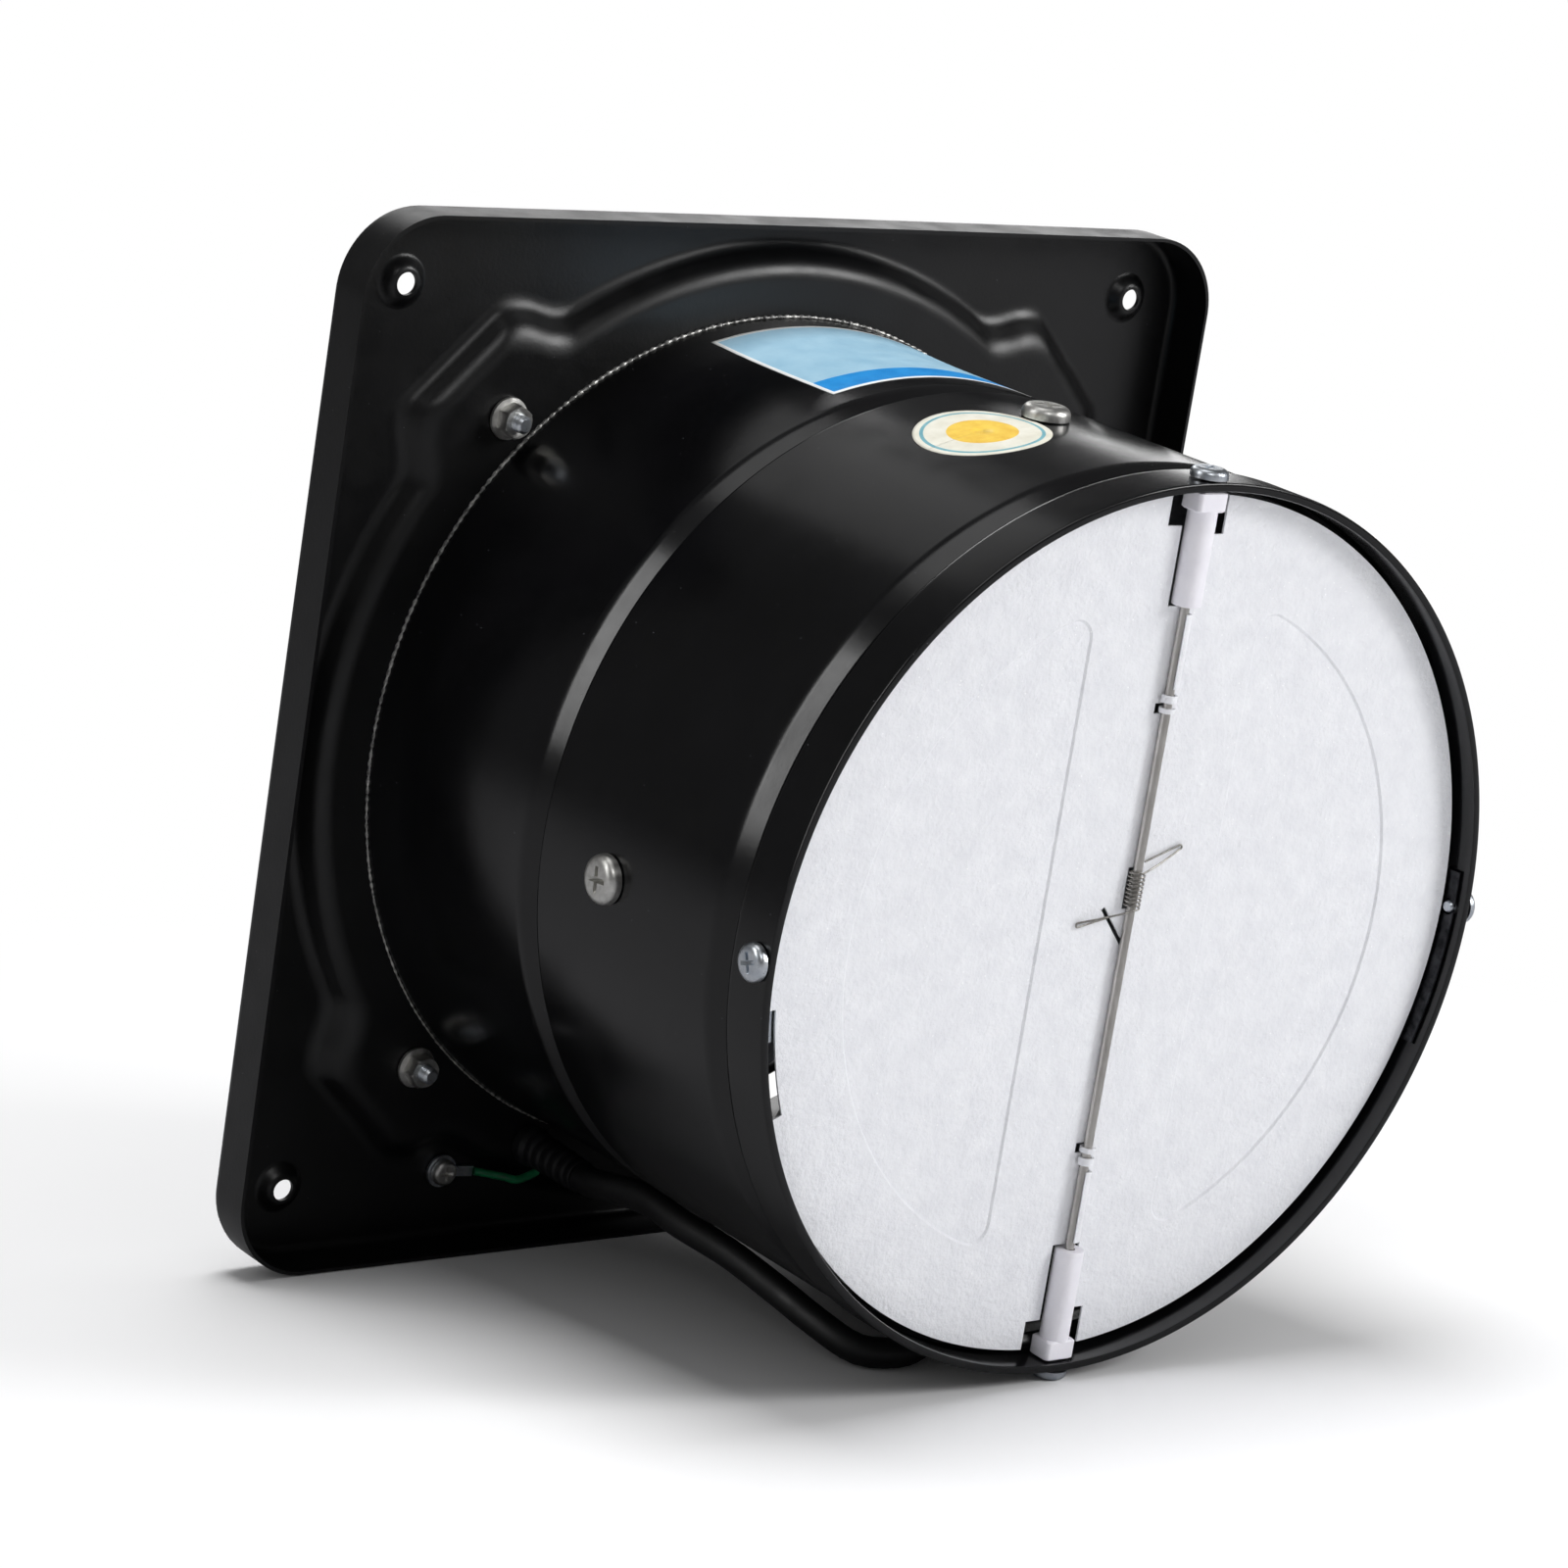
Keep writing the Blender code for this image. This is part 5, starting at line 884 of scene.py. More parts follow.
def hexNut(values):
    # Chamfered hexagon with a bore, on a round flange where it has one
    s = sized(values)
    sides = 48
    flat = s.acrossFlats / 2
    base = s.flangeHeight

    def hexRow(level, limit):
        row = []
        for i in range(sides):
            turn = 2 * pi * i / sides
            off = (turn + radians(30)) % radians(60) - radians(30)
            r = min(flat / cos(off), limit)
            row.append((r * cos(turn), r * sin(turn), level))
        return row

    def roundRow(level, radius):
        return [(x, y, level) for x, y in polygon(radius, sides)]

    wide = flat / cos(radians(30))
    # Chamfers of 0.1 to 0.5 mm ease the bore's mouths, the flange and the hexagon's top
    thread = s.bore - 0.15 * mm
    rows = [roundRow(0.35 * mm, thread), roundRow(0, s.bore + 0.25 * mm)]
    if s.flange:
        rows.append(roundRow(0, s.flange - 0.1 * mm))
        rows.append(roundRow(0.3 * base, s.flange))
        rows.append(roundRow(0.8 * base, s.flange - 0.15 * mm))
    rows.append(hexRow(base, wide))
    rows.append(hexRow(s.height - 0.5 * mm, wide))
    rows.append(hexRow(s.height, flat * 1.02))
    rows.append(roundRow(s.height, s.bore + 0.4 * mm))
    rows.append(roundRow(s.height - 0.4 * mm, thread))
    bm = bmesh.new()
    loft(bm, rows, closed=True)
    return bm


# The rim screws' length comes from the posts and stops that they hold
screwValues = {
    "guard": {
        "head": 7.6, "height": 2.2, "shank": 4.0, "length": 10.6, "pitch": 0.7, "recess": 2.2, "slot": 0.5,
    },
    "bracket": {
        "head": 11.0, "height": 3.0, "shank": 4.0, "length": 6.0, "pitch": 0.7, "recess": 3.3, "slot": 0.62,
    },
    "motor": {
        "head": 6.0, "height": 1.8, "shank": 3.0, "length": 4.5, "pitch": 0.5, "recess": 1.8, "slot": 0.42,
    },
    "rim": {"head": 8.4, "height": 2.17, "shank": 3.2, "pitch": 0.8, "recess": 2.6, "slot": 0.52},
    "earth": {
        "head": 6.4, "height": 2.0, "shank": 3.0, "length": 4.4, "pitch": 0.5, "recess": 2.0, "slot": 0.45,
    },
}
places = [onPlate(plate.guardBolt, turn, plate.guardScrewSeat, True) for turn in diagonals]
addCopies("guardScrew", panScrew(screwValues["guard"]), "zinc", "guard_screw", places)
nutValues = {"bore": 2.0, "acrossFlats": 7.0, "height": 4.6, "flange": 5.0, "flangeHeight": 1.0}
# Nuts and screws are left at different turns, as hands leave them
places = [
    onPlate(plate.guardBolt, turn, plate.guardNutSeat) @ Matrix.Rotation(radians(17 + 40 * i), 4, "Z")
    for i, turn in enumerate(diagonals)
]
addCopies("guardNut", hexNut(nutValues), "bright_steel", "guard_nut", places)
places = [
    onDuct(turn, duct.screwReach, duct.radius + seat) @ Matrix.Rotation(radians(25 + 35 * i), 4, "Z")
    for i, turn in enumerate(quarterTurns)
]
addCopies("bracketScrew", panScrew(screwValues["bracket"]), "bright_steel", "bracket_screw", places)

# What the rim screws hold: posts up and down, stops left and right, with the flaps' edges between them
rimValues = {
    "postTop": 99.3695, "screwDepth": 7.5, "flapRadius": 98.05, "stopRadius": 99.45, "stopSheet": 0.6,
}
rim = sized(rimValues)
rimSeat = duct.rim + seat
uprightTip = rim.postTop - rim.screwDepth + seat
sideTip = (rim.flapRadius + rim.stopRadius - rim.stopSheet) / 2
recessTurn = Matrix.Rotation(radians(20), 4, "Z")
for name, node, tip, turns in (
    ("postScrew", "post_screw", uprightTip, (90, -90)),
    ("stopScrew", "stop_screw", sideTip, (180, 0)),
):
    values = {**screwValues["rim"], "length": (rimSeat - tip) / mm}
    places = [onDuct(radians(turn), duct.rodReach, rimSeat) @ recessTurn for turn in turns]
    addCopies(name, panScrew(values), "zinc", node, places)
print("screws and nuts made")

# Wire guard on the room side: rings, four spokes welded across them and folded lugs
guardValues = {
    "wire": 2.5, "radius": 100.0, "spacing": 12.0, "base": -17.75, "dome": 8.0, "shoulder": 14.0,
    "lugSheet": 1.5, "lugWidth": 10.0, "lugFoot": 11.2, "lugTop": 7.3, "lugHeel": 104.3, "lugWall": -7.3,
    "lugBend": 0.9,
}
guard = sized(guardValues)
wireRadius = guard.wire / 2


def guardReach(radius):
    share = min(1, max(0, (guard.radius - radius) / guard.shoulder))
    return guard.base - guard.dome * (1 - cos(share * pi)) / 2


bm = bmesh.new()
ringCount = 8
ringRadii = [guard.radius - guard.spacing * i for i in range(ringCount)]
for radius in ringRadii:
    ring = [(radius + x, guardReach(radius) + y) for x, y in polygon(wireRadius, 12)]
    turned(bm, ring, 144, alongReach)
spokeRadii = [ringRadii[-1] - wireRadius, *[guard.radius - guard.shoulder * (1 - i / 10) for i in range(11)]]
spokeRadii.append(guard.radius + wireRadius)
lugWall = guard.lugWall
lugRoom = lugWall - guard.lugSheet
top = guard.base + wireRadius - seat
lugProfile = [
    (guard.lugHeel, lugWall),
    (guard.lugHeel + guard.lugFoot, lugWall),
    (guard.lugHeel + guard.lugFoot, lugRoom),
    (guard.lugHeel + guard.lugSheet, lugRoom),
    (guard.lugHeel + guard.lugSheet, top),
    (guard.lugHeel + guard.lugSheet - guard.lugTop, top),
    (guard.lugHeel + guard.lugSheet - guard.lugTop, top + guard.lugSheet),
    (guard.lugHeel, top + guard.lugSheet),
]
lugProfile = softened(lugProfile, guard.lugBend, 4)
lugs = bmesh.new()
lugHoles = bmesh.new()
for angle in diagonals:
    outward = Vector((cos(angle), 0, sin(angle)))
    points = [outward * r + Vector((0, guard.wire - seat - guardReach(r), 0)) for r in spokeRadii]
    tube(bm, points, wireRadius, 12)
    turn = Matrix.Rotation(-angle, 4, "Y")
    flat = [[(radius, -reach, side * guard.lugWidth / 2) for radius, reach in lugProfile] for side in (-1, 1)]
    loft(lugs, flat, turn)
    place = onPlate(plate.guardBolt, angle)
    drill(lugHoles, plate.guardHole, lugRoom - through, lugWall + through, 24, place)
lugs = combined(lugs, ("DIFFERENCE", lugHoles))
lugMesh = bpy.data.meshes.new("lugs")
lugs.to_mesh(lugMesh)
lugs.free()
bm.from_mesh(lugMesh)
addPiece("guard", bm, "guard_paint", nodes=["guard"])
print("guard made")

# Motor bracket: a disc with four arms whose ends are folded along the duct
bracketValues = {
    "reach": 80.0, "sheet": 1.5, "armWidth": 14.0, "discRadius": 33.0, "bend": 1.5, "foot": 11.0,
    "bore": 100.1, "hub": 12.8, "screwCircle": 27.0, "motorHole": 1.8, "holeDepth": 2.5,
}
bracket = sized(bracketValues)
footHalf = bracket.armWidth / 2
footFace = sqrt((bracket.bore - seat) ** 2 - footHalf**2)
foldRadius = bracket.bend + bracket.sheet
armEnd = footFace - foldRadius
discCorner = atan(footHalf / bracket.discRadius)


def foldedSheet(bm, outline, low, high, place, movesAt):
    # Flat sheet on an outline, whose marked edges carry on along a row of moves, as a press would fold them
    rings = [[bm.verts.new(place @ Vector((x, y, level))) for x, y, fold in outline] for level in (low, high)]
    bm.faces.new(rings[0])
    bm.faces.new(rings[1])
    for i, (x, y, fold) in enumerate(outline):
        j = (i + 1) % len(outline)
        now = [rings[0][i], rings[0][j], rings[1][j], rings[1][i]]
        if fold is None:
            bm.faces.new(now)
            continue
        start = [place.inverted() @ corner.co for corner in now]
        for move in movesAt(fold):
            following = [bm.verts.new(place @ (move @ corner)) for corner in start]
            for k in range(4):
                bm.faces.new((now[k], now[k - 3], following[k - 3], following[k]))
            now = following
        bm.faces.new(now)


def footMoves(turn):
    facing = Matrix.Rotation(turn, 4, "Z")
    pivot = Matrix.Translation((armEnd, 0, bracket.reach + foldRadius))
    folds = [pivot @ Matrix.Rotation(radians(-90) * i / 8, 4, "Y") @ pivot.inverted() for i in range(1, 9)]
    slide = Matrix.Translation((0, 0, bracket.foot - foldRadius))
    return [facing @ move @ facing.inverted() for move in (*folds, slide @ folds[-1])]


outline = []
for turn in quarterTurns:
    rotate = Matrix.Rotation(turn, 2)
    outline.append((*(rotate @ Vector((armEnd, -footHalf))), turn))
    outline.append((*(rotate @ Vector((armEnd, footHalf))), None))
    for i in range(13):
        at = turn + discCorner + (radians(90) - 2 * discCorner) * i / 12
        outline.append((bracket.discRadius * cos(at), bracket.discRadius * sin(at), None))
bm = bmesh.new()
foldedSheet(bm, outline, bracket.reach, bracket.reach + bracket.sheet, alongReach, footMoves)
holes = bmesh.new()
span = (bracket.reach - through, bracket.reach + bracket.sheet + through)
drill(holes, bracket.hub, *span, 64, alongReach)
for turn in diagonals:
    drill(holes, bracket.motorHole, *span, 20, onPlate(bracket.screwCircle, turn))
for turn in quarterTurns:
    drill(holes, duct.screwHole, -bracket.holeDepth, through, 24, onDuct(turn, duct.screwReach, footFace))
bm = combined(bm, ("DIFFERENCE", holes))
addPiece("motorBracket", bm, "black_paint", nodes=["motor_bracket"])

# Motor: plain drawn shell, and two cast caps with bearing bosses
motorValues = {
    "radius": 42.0, "wall": 1.2, "shellRoom": 30.9, "shellOutlet": 76.9, "shellRound": 0.4, "capFace": 24.1,
    "capWall": 2.5, "roomCapRound": 1.6, "ductCapRound": 1.0, "bossRadius": 12.5, "bossRoom": 17.1,
    "bossOutlet": 88.5, "ductFace": 79.7, "ventWidth": 7.0, "ventCircle": 28.0, "pocket": 9.3,
    "shaftBore": 4.3,
}
motor = sized(motorValues)
ventCount = 6
shellProfile = [
    (motor.radius - motor.wall, motor.shellRoom),
    (motor.radius, motor.shellRoom),
    (motor.radius, motor.shellOutlet),
    (motor.radius - motor.wall, motor.shellOutlet),
]
bm = bmesh.new()
turned(bm, softened(shellProfile, motor.shellRound), 96, alongReach)
addPiece("motorShell", bm, "motor_paint", nodes=["motor_shell"])
roomEdge = motor.shellRoom - seat
roomCap = [
    (0, motor.bossRoom),
    (motor.bossRadius, motor.bossRoom),
    (motor.bossRadius, motor.capFace),
    (motor.radius, motor.capFace),
    (motor.radius, roomEdge),
    (motor.radius - motor.capWall, roomEdge),
    (motor.radius - motor.capWall, motor.capFace + motor.capWall),
    (motor.pocket, motor.capFace + motor.capWall),
    (motor.pocket, motor.bossRoom + motor.capWall),
    (0, motor.bossRoom + motor.capWall),
]
bm = bmesh.new()
turned(bm, softened(roomCap, motor.roomCapRound, 5), 96, alongReach)
vents = bmesh.new()
for i in range(ventCount):
    turn = 2 * pi * (i + 0.5) / ventCount
    span = (motor.capFace - through, motor.capFace + motor.capWall + through)
    drill(vents, motor.ventWidth / 2, *span, 28, onPlate(motor.ventCircle, turn))
bm = combined(bm, ("DIFFERENCE", vents))
addPiece("motorRoomCap", bm, "motor_paint", nodes=["motor_room_cap"])
ductInside = motor.shellOutlet + seat
ductCap = [
    (motor.pocket, ductInside),
    (motor.radius, ductInside),
    (motor.radius, motor.ductFace),
    (motor.bossRadius, motor.ductFace),
    (motor.bossRadius, motor.bossOutlet),
    (motor.shaftBore, motor.bossOutlet),
    (motor.shaftBore, motor.bossOutlet - motor.capWall),
    (motor.pocket, motor.bossOutlet - motor.capWall),
]
bm = bmesh.new()
turned(bm, softened(ductCap, motor.ductCapRound, 4), 96, alongReach)
addPiece("motorDuctCap", bm, "motor_paint", nodes=["motor_duct_cap"])
places = [onPlate(bracket.screwCircle, turn, bracket.reach + bracket.sheet + seat) for turn in diagonals]
addCopies("motorScrew", panScrew(screwValues["motor"]), "zinc", "motor_screw", places)
print("motor and bracket made")

# Impeller: turned hub with six swept and twisted pressed blades, on the shaft
impellerValues = {
    "hubLow": 93.5, "hubHigh": 119.5, "hub": 24.0, "hubRound": 2.2, "wall": 3.0, "boss": 8.5, "bore": 4.3,
    "tip": 96.5, "sheet": 1.4, "rootChord": 32.0, "tipChord": 60.0,
}
impeller = sized(impellerValues)
bladeCount = 6
rootPitch, tipPitch, bladeSweep = radians(38), radians(22), radians(9)
roundFrom = 0.8  # Share of the span from which the blade's tip is rounded
tipLoss, bladeBow = 0.18, 0.07  # Shares of the chord
hubProfile = [
    (impeller.bore, impeller.hubLow + impeller.wall),
    (impeller.boss, impeller.hubLow + impeller.wall),
    (impeller.boss, impeller.hubHigh - impeller.wall),
    (impeller.hub - impeller.wall, impeller.hubHigh - impeller.wall),
    (impeller.hub - impeller.wall, impeller.hubLow),
    (impeller.hub, impeller.hubLow),
    (impeller.hub, impeller.hubHigh),
    (impeller.bore, impeller.hubHigh),
]
bm = bmesh.new()
turned(bm, softened(hubProfile, impeller.hubRound, 5), 96, alongReach)
bladeRoot = impeller.hub - impeller.wall / 2


def bladePoint(spanShare, chordShare, lift):
    radius = bladeRoot + (impeller.tip - bladeRoot) * spanShare
    chord = impeller.rootChord + (impeller.tipChord - impeller.rootChord) * spanShare
    rounding = max(0, spanShare - roundFrom) / (1 - roundFrom)
    chord *= 1 - tipLoss * rounding**2.5
    pitch = rootPitch + (tipPitch - rootPitch) * spanShare
    bow = chord * bladeBow * (1 - 4 * chordShare**2) + lift
    around = chord * chordShare * cos(pitch) - bow * sin(pitch)
    along = chord * chordShare * sin(pitch) + bow * cos(pitch)
    turn = around / radius + bladeSweep * spanShare**2
    return Vector((radius * cos(turn), radius * sin(turn), (impeller.hubLow + impeller.hubHigh) / 2 + along))


blades = bmesh.new()
chordShares = [i / 16 - 0.5 for i in range(17)]
for i in range(bladeCount):
    sections = []
    for spanShare in [j / 20 for j in range(21)]:
        front = [bladePoint(spanShare, share, impeller.sheet / 2) for share in chordShares]
        back = [bladePoint(spanShare, share, -impeller.sheet / 2) for share in reversed(chordShares)]
        sections.append(front + back)
    loft(blades, sections, alongReach @ Matrix.Rotation(2 * pi * i / bladeCount, 4, "Z"))
bm = combined(bm, ("UNION", blades))
addPiece("impeller", bm, "blade_metal", "impeller_group", ["impeller"])
impellerNutValues = {"bore": 4.3, "acrossFlats": 13.0, "height": 7.0, "flange": 0, "flangeHeight": 0}
shaftValues = {
    "radius": 4.0, "roomEnd": 20.6, "chamfer": 0.4, "threadStart": 119.8, "threadEnd": 128.2, "pitch": 1.0,
    "threadDepth": 0.3, "tip": 3.0, "outletEnd": 128.8,
}
shaft = sized(shaftValues)
bm = hexNut(impellerNutValues)
bmesh.ops.transform(bm, matrix=onPlate(0, 0, shaft.threadStart), verts=bm.verts)
addPiece("impellerNut", bm, "bright_steel", "impeller_group", ["impeller_nut"])
shaftProfile = [
    (0, shaft.roomEnd),
    (shaft.radius - shaft.chamfer, shaft.roomEnd),
    (shaft.radius, shaft.roomEnd + shaft.chamfer),
    *threaded(shaft.radius, shaft.threadStart, shaft.threadEnd, shaft.pitch, shaft.threadDepth),
    (shaft.tip, shaft.outletEnd),
    (0, shaft.outletEnd),
]
bm = bmesh.new()
turned(bm, shaftProfile, 48, alongReach)
addPiece("shaft", bm, "bright_steel", "impeller_group", ["shaft"])
print("impeller made")

# Rod between two moulded posts at the rim
rodValues = {
    "width": 2.0, "half": 91.5695, "round": 0.2, "postWidth": 6.6, "postEnd": 73.8695, "postRound": 0.4,
    "postOverlap": 0.5, "collarWidth": 8.0, "collarDepth": 6.4, "collarHeight": 4.5, "collarCorner": 1.0,
    "collarEase": 0.35, "bore": 1.3,
}
rod = sized(rodValues)
rodHome = Vector((0, -duct.rodReach, 0))
bm = bmesh.new()
half = rod.width / 2
rodProfile = softened([(0, -rod.half), (half, -rod.half), (half, rod.half), (0, rod.half)], rod.round)
turned(bm, rodProfile, 32, Matrix.Translation(rodHome))
addPiece("hingeRod", bm, "rod_steel", nodes=["hinge_rod"])
collarFoot = rim.postTop - rod.collarHeight
postBores = [
    (0, rod.postEnd - through),
    (rod.bore, rod.postEnd - through),
    (rod.bore, rim.postTop - rim.screwDepth),
    (duct.rimHole, rim.postTop - rim.screwDepth),
    (duct.rimHole, rim.postTop + through),
    (0, rim.postTop + through),
]
for name, node, way in (("topPost", "top_post", 1), ("bottomPost", "bottom_post", -1)):
    upright = Matrix.Translation(rodHome) @ Matrix.Scale(way, 4, (0, 0, 1))
    bm = bmesh.new()
    rows = []
    for inset, level in (
        (rod.collarEase, collarFoot),
        (0, collarFoot + rod.collarEase),
        (0, rim.postTop - rod.collarEase),
        (rod.collarEase, rim.postTop),
    ):
        box = roundedBox(rod.collarWidth - 2 * inset, rod.collarDepth - 2 * inset, rod.collarCorner)
        rows.append([(x, y, level) for x, y in box])
    loft(bm, rows, upright)
    barrel = bmesh.new()
    half = rod.postWidth / 2
    barrelEnd = collarFoot + rod.postOverlap
    ends = [(0, rod.postEnd), (half, rod.postEnd), (half, barrelEnd), (0, barrelEnd)]
    turned(barrel, softened(ends, rod.postRound), 48, upright)
    bores = bmesh.new()
    turned(bores, postBores, 32, upright)
    bm = combined(bm, ("UNION", barrel), ("DIFFERENCE", bores))
    addPiece(name, bm, "white_nylon", nodes=[node])
print("rod and posts made")

# Flaps: half discs behind the rod, with curled knuckles and hooks, cut-outs, notches and a pressed crease
flapValues = {
    "sheet": 0.5, "halfGap": 0.25, "sideGap": 0.6, "leftKnuckle": 55.4, "leftKnuckleLength": 16.6,
    "hookStart": 52.2, "hookWidth": 1.7, "rightHook": 49.9, "rightHookWidth": 1.1, "leftNotchWidth": 8.0,
    "leftNotchHeight": 7.0, "rightNotchWidth": 8.4, "rightNotchHeight": 9.0, "creaseRadius": 76.5,
    "creaseInset": 24.0, "creaseCorner": 4.5, "creaseWidth": 0.9, "creaseDepth": 0.42, "gapInner": 94.2,
    "slotWidth": 1.1, "slotLength": 10.5, "slotLow": 2.6, "springStart": 5.6, "springTop": 13.88,
    "springHalf": 1.925, "springRoom": 0.1,
}
flap = sized(flapValues)
flapTurns = {"knuckle": 200, "leftHook": 290, "rightHook": 250, "slot": 50, "gapStart": 187, "gapSweep": 15}
knuckleRadius = rod.bore + flap.sheet
sideGap = flap.sideGap
cutHalf = knuckleRadius + sideGap
windowHalf = sqrt((flap.springHalf + flap.springRoom) ** 2 - rod.bore**2)
postCut = rod.postWidth / 2 + sideGap
postLow = rod.postEnd - sideGap
sheetFront = duct.rodReach - rod.bore
sheetBack = sheetFront - flap.sheet


def bothEnds(start, length, curl):
    return [(start, start + length, curl), (-start - length, -start, curl)]


leftCurls = bothEnds(flap.leftKnuckle, flap.leftKnuckleLength, radians(flapTurns["knuckle"]))
leftCurls += bothEnds(flap.hookStart, flap.hookWidth, radians(flapTurns["leftHook"]))
rightCurls = bothEnds(flap.rightHook, flap.rightHookWidth, radians(flapTurns["rightHook"]))
leftCuts = [(low, high) for low, high, curl in rightCurls]
hookToEnd = flap.leftKnuckle + flap.leftKnuckleLength - flap.hookStart
rightCuts = [(low, high) for low, high, curl in bothEnds(flap.hookStart, hookToEnd, None)]


def rodEdge(ownCurls, otherCuts, slotted):
    # The flap's edge along the rod, from low to high, as distance out, height and curl
    runs = []
    gap = flap.halfGap
    for low, high, curl in ownCurls:
        runs.append([(gap, low, None), (0, low, curl), (0, high, None), (gap, high, None)])
    for low, high, out in [(low, high, cutHalf) for low, high in otherCuts] + [
        (flap.springStart, flap.springTop, windowHalf)
    ]:
        low -= sideGap
        high += sideGap
        runs.append([(x, y, None) for x, y in ((gap, low), (out, low), (out, high), (gap, high))])
    if slotted:
        slotTurn = radians(flapTurns["slot"])
        way = Vector((cos(slotTurn), sin(slotTurn)))
        aside = Vector((-way.y, way.x)) * flap.slotWidth / 2
        tip = Vector((gap, -flap.slotLow)) + way * flap.slotLength
        across = flap.slotWidth / 2 / way.x
        mouth = (-flap.slotLow - across, -flap.slotLow + across)
        corners = [(gap, mouth[0]), tip - aside, tip + aside, (gap, mouth[1])]
        runs.append([(*corner, None) for corner in corners])
    return [point for run in sorted(runs, key=lambda run: run[0][1]) for point in run]


def flapOutline(edge, notchWidth, notchHeight):
    foot = rim.flapRadius - notchHeight
    notchTurn = acos(notchWidth / rim.flapRadius)
    arcSteps = 110
    arc = [notchTurn - 2 * notchTurn * i / arcSteps for i in range(arcSteps + 1)]
    lowEnd = [(notchWidth, -foot), (postCut, -foot), (postCut, -postLow), (flap.halfGap, -postLow)]
    highEnd = [(x, -y, None) for x, y in reversed(lowEnd)]
    made = [(rim.flapRadius * cos(turn), rim.flapRadius * sin(turn), None) for turn in arc]
    return made + [(x, y, None) for x, y in lowEnd] + edge + highEnd


def creaseLoop(grow):
    # Rounded D with its flat side toward the rod
    radius = flap.creaseRadius + grow
    corner = flap.creaseCorner + grow
    middle = flap.creaseInset + flap.creaseCorner
    rise = sqrt((radius - corner) ** 2 - middle**2)
    bend = atan2(rise, middle)
    steps = 90
    arc = [bend - 2 * bend * i / steps for i in range(steps + 1)]
    loop = [(radius * cos(turn), radius * sin(turn)) for turn in arc]
    turns = [bend + (pi - bend) * i / 10 for i in range(1, 11)]
    loop += [(middle + corner * cos(turn), -rise - corner * sin(turn)) for turn in turns]
    loop += [(middle + corner * cos(turn), rise + corner * sin(turn)) for turn in reversed(turns)]
    return loop


# The pressed panel lies a little behind the face, with a sloped step round it
creaseHalf = flap.creaseWidth / 2
dent = [
    (-creaseHalf, sheetFront - flap.creaseDepth),
    (-creaseHalf * 0.6, sheetFront - flap.creaseDepth),
    (creaseHalf * 0.6, sheetFront),
    (creaseHalf, sheetFront + 0.3 * mm),  # Past the sheet's face, so that the cut is clean
]
bulge = [
    (creaseHalf + flap.sheet, sheetBack + 0.1 * mm),  # Within the sheet, so that the panel joins it
    ((creaseHalf + flap.sheet) * 0.6, sheetBack - flap.creaseDepth),
]
leftOutline = flapOutline(rodEdge(leftCurls, leftCuts, True), flap.leftNotchWidth, flap.leftNotchHeight)
rightOutline = flapOutline(rodEdge(rightCurls, rightCuts, False), flap.rightNotchWidth, flap.rightNotchHeight)
for name, node, way, outline in (
    ("leftFlap", "left_flap", -1, leftOutline),
    ("rightFlap", "right_flap", 1, rightOutline),
):

    def curlMoves(curl, way=way):
        steps = ceil(curl / radians(12))
        axis = Matrix.Translation((0, 0, duct.rodReach))
        bends = [Matrix.Rotation(way * curl * (i + 1) / steps, 4, "Y") for i in range(steps)]
        return [axis @ bend @ axis.inverted() for bend in bends]

    bm = bmesh.new()
    mirrored = [(way * out, up, curl) for out, up, curl in outline]
    foldedSheet(bm, mirrored, sheetBack, sheetFront, alongReach, curlMoves)
    panels = []
    for section in (bulge, dent):
        panels.append(bmesh.new())
        rows = [[(way * x, y, reach) for x, y in creaseLoop(grow)] for grow, reach in section]
        loft(panels[-1], rows, alongReach)
    changes = [("UNION", panels[0]), ("DIFFERENCE", panels[1])]
    if way < 0:
        # Gap in the edge, through which the stop's strip shows
        gap = bmesh.new()
        low, high = sheetBack - through, sheetFront + through
        gapRing = [(flap.gapInner, low), (rim.stopRadius, low), (rim.stopRadius, high), (flap.gapInner, high)]
        gapStart, gapSweep = radians(flapTurns["gapStart"]), radians(flapTurns["gapSweep"])
        turned(gap, gapRing, 24, alongReach, gapStart, gapSweep)
        changes.append(("DIFFERENCE", gap))
    bm = combined(bm, *changes)
    addPiece(name, bm, "flap_coat", f"{node}_group", [node], sharpAbove=15)
print("flaps made")

# Stops: bent strips on the hem, their lips behind the flaps' edges, the left one shorter so that half of
# the gap in its flap is dark
stopValues = {"lip": 5.0, "leg": 4.0, "round": 0.3, "holeDepth": 1.6}
stop = sized(stopValues)
stopFront = sheetBack - seat
stopInside = rim.stopRadius - rim.stopSheet
profile = [
    (rim.stopRadius - stop.lip, stopFront - rim.stopSheet),
    (rim.stopRadius, stopFront - rim.stopSheet),
    (rim.stopRadius, stopFront + stop.leg),
    (stopInside, stopFront + stop.leg),
    (stopInside, stopFront),
    (rim.stopRadius - stop.lip, stopFront),
]
for name, node, start, sweep, screwTurn, look in (
    ("leftStop", "left_stop", 175, 16.5, 180, "zinc"),
    # The right stop's zinc takes painted shade: a dark grey copy of the left stop's zinc
    ("rightStop", "right_stop", -19, 24, 0, "darkZinc"),
):
    bm = bmesh.new()
    turned(bm, softened(profile, stop.round, 3), 40, alongReach, radians(start), radians(sweep))
    hole = bmesh.new()
    place = onDuct(radians(screwTurn), duct.rodReach, rim.stopRadius)
    drill(hole, duct.rimHole, -stop.holeDepth, through, 24, place)
    bm = combined(bm, ("DIFFERENCE", hole))
    addPiece(name, bm, "zinc", nodes=[node], shownAs=look)
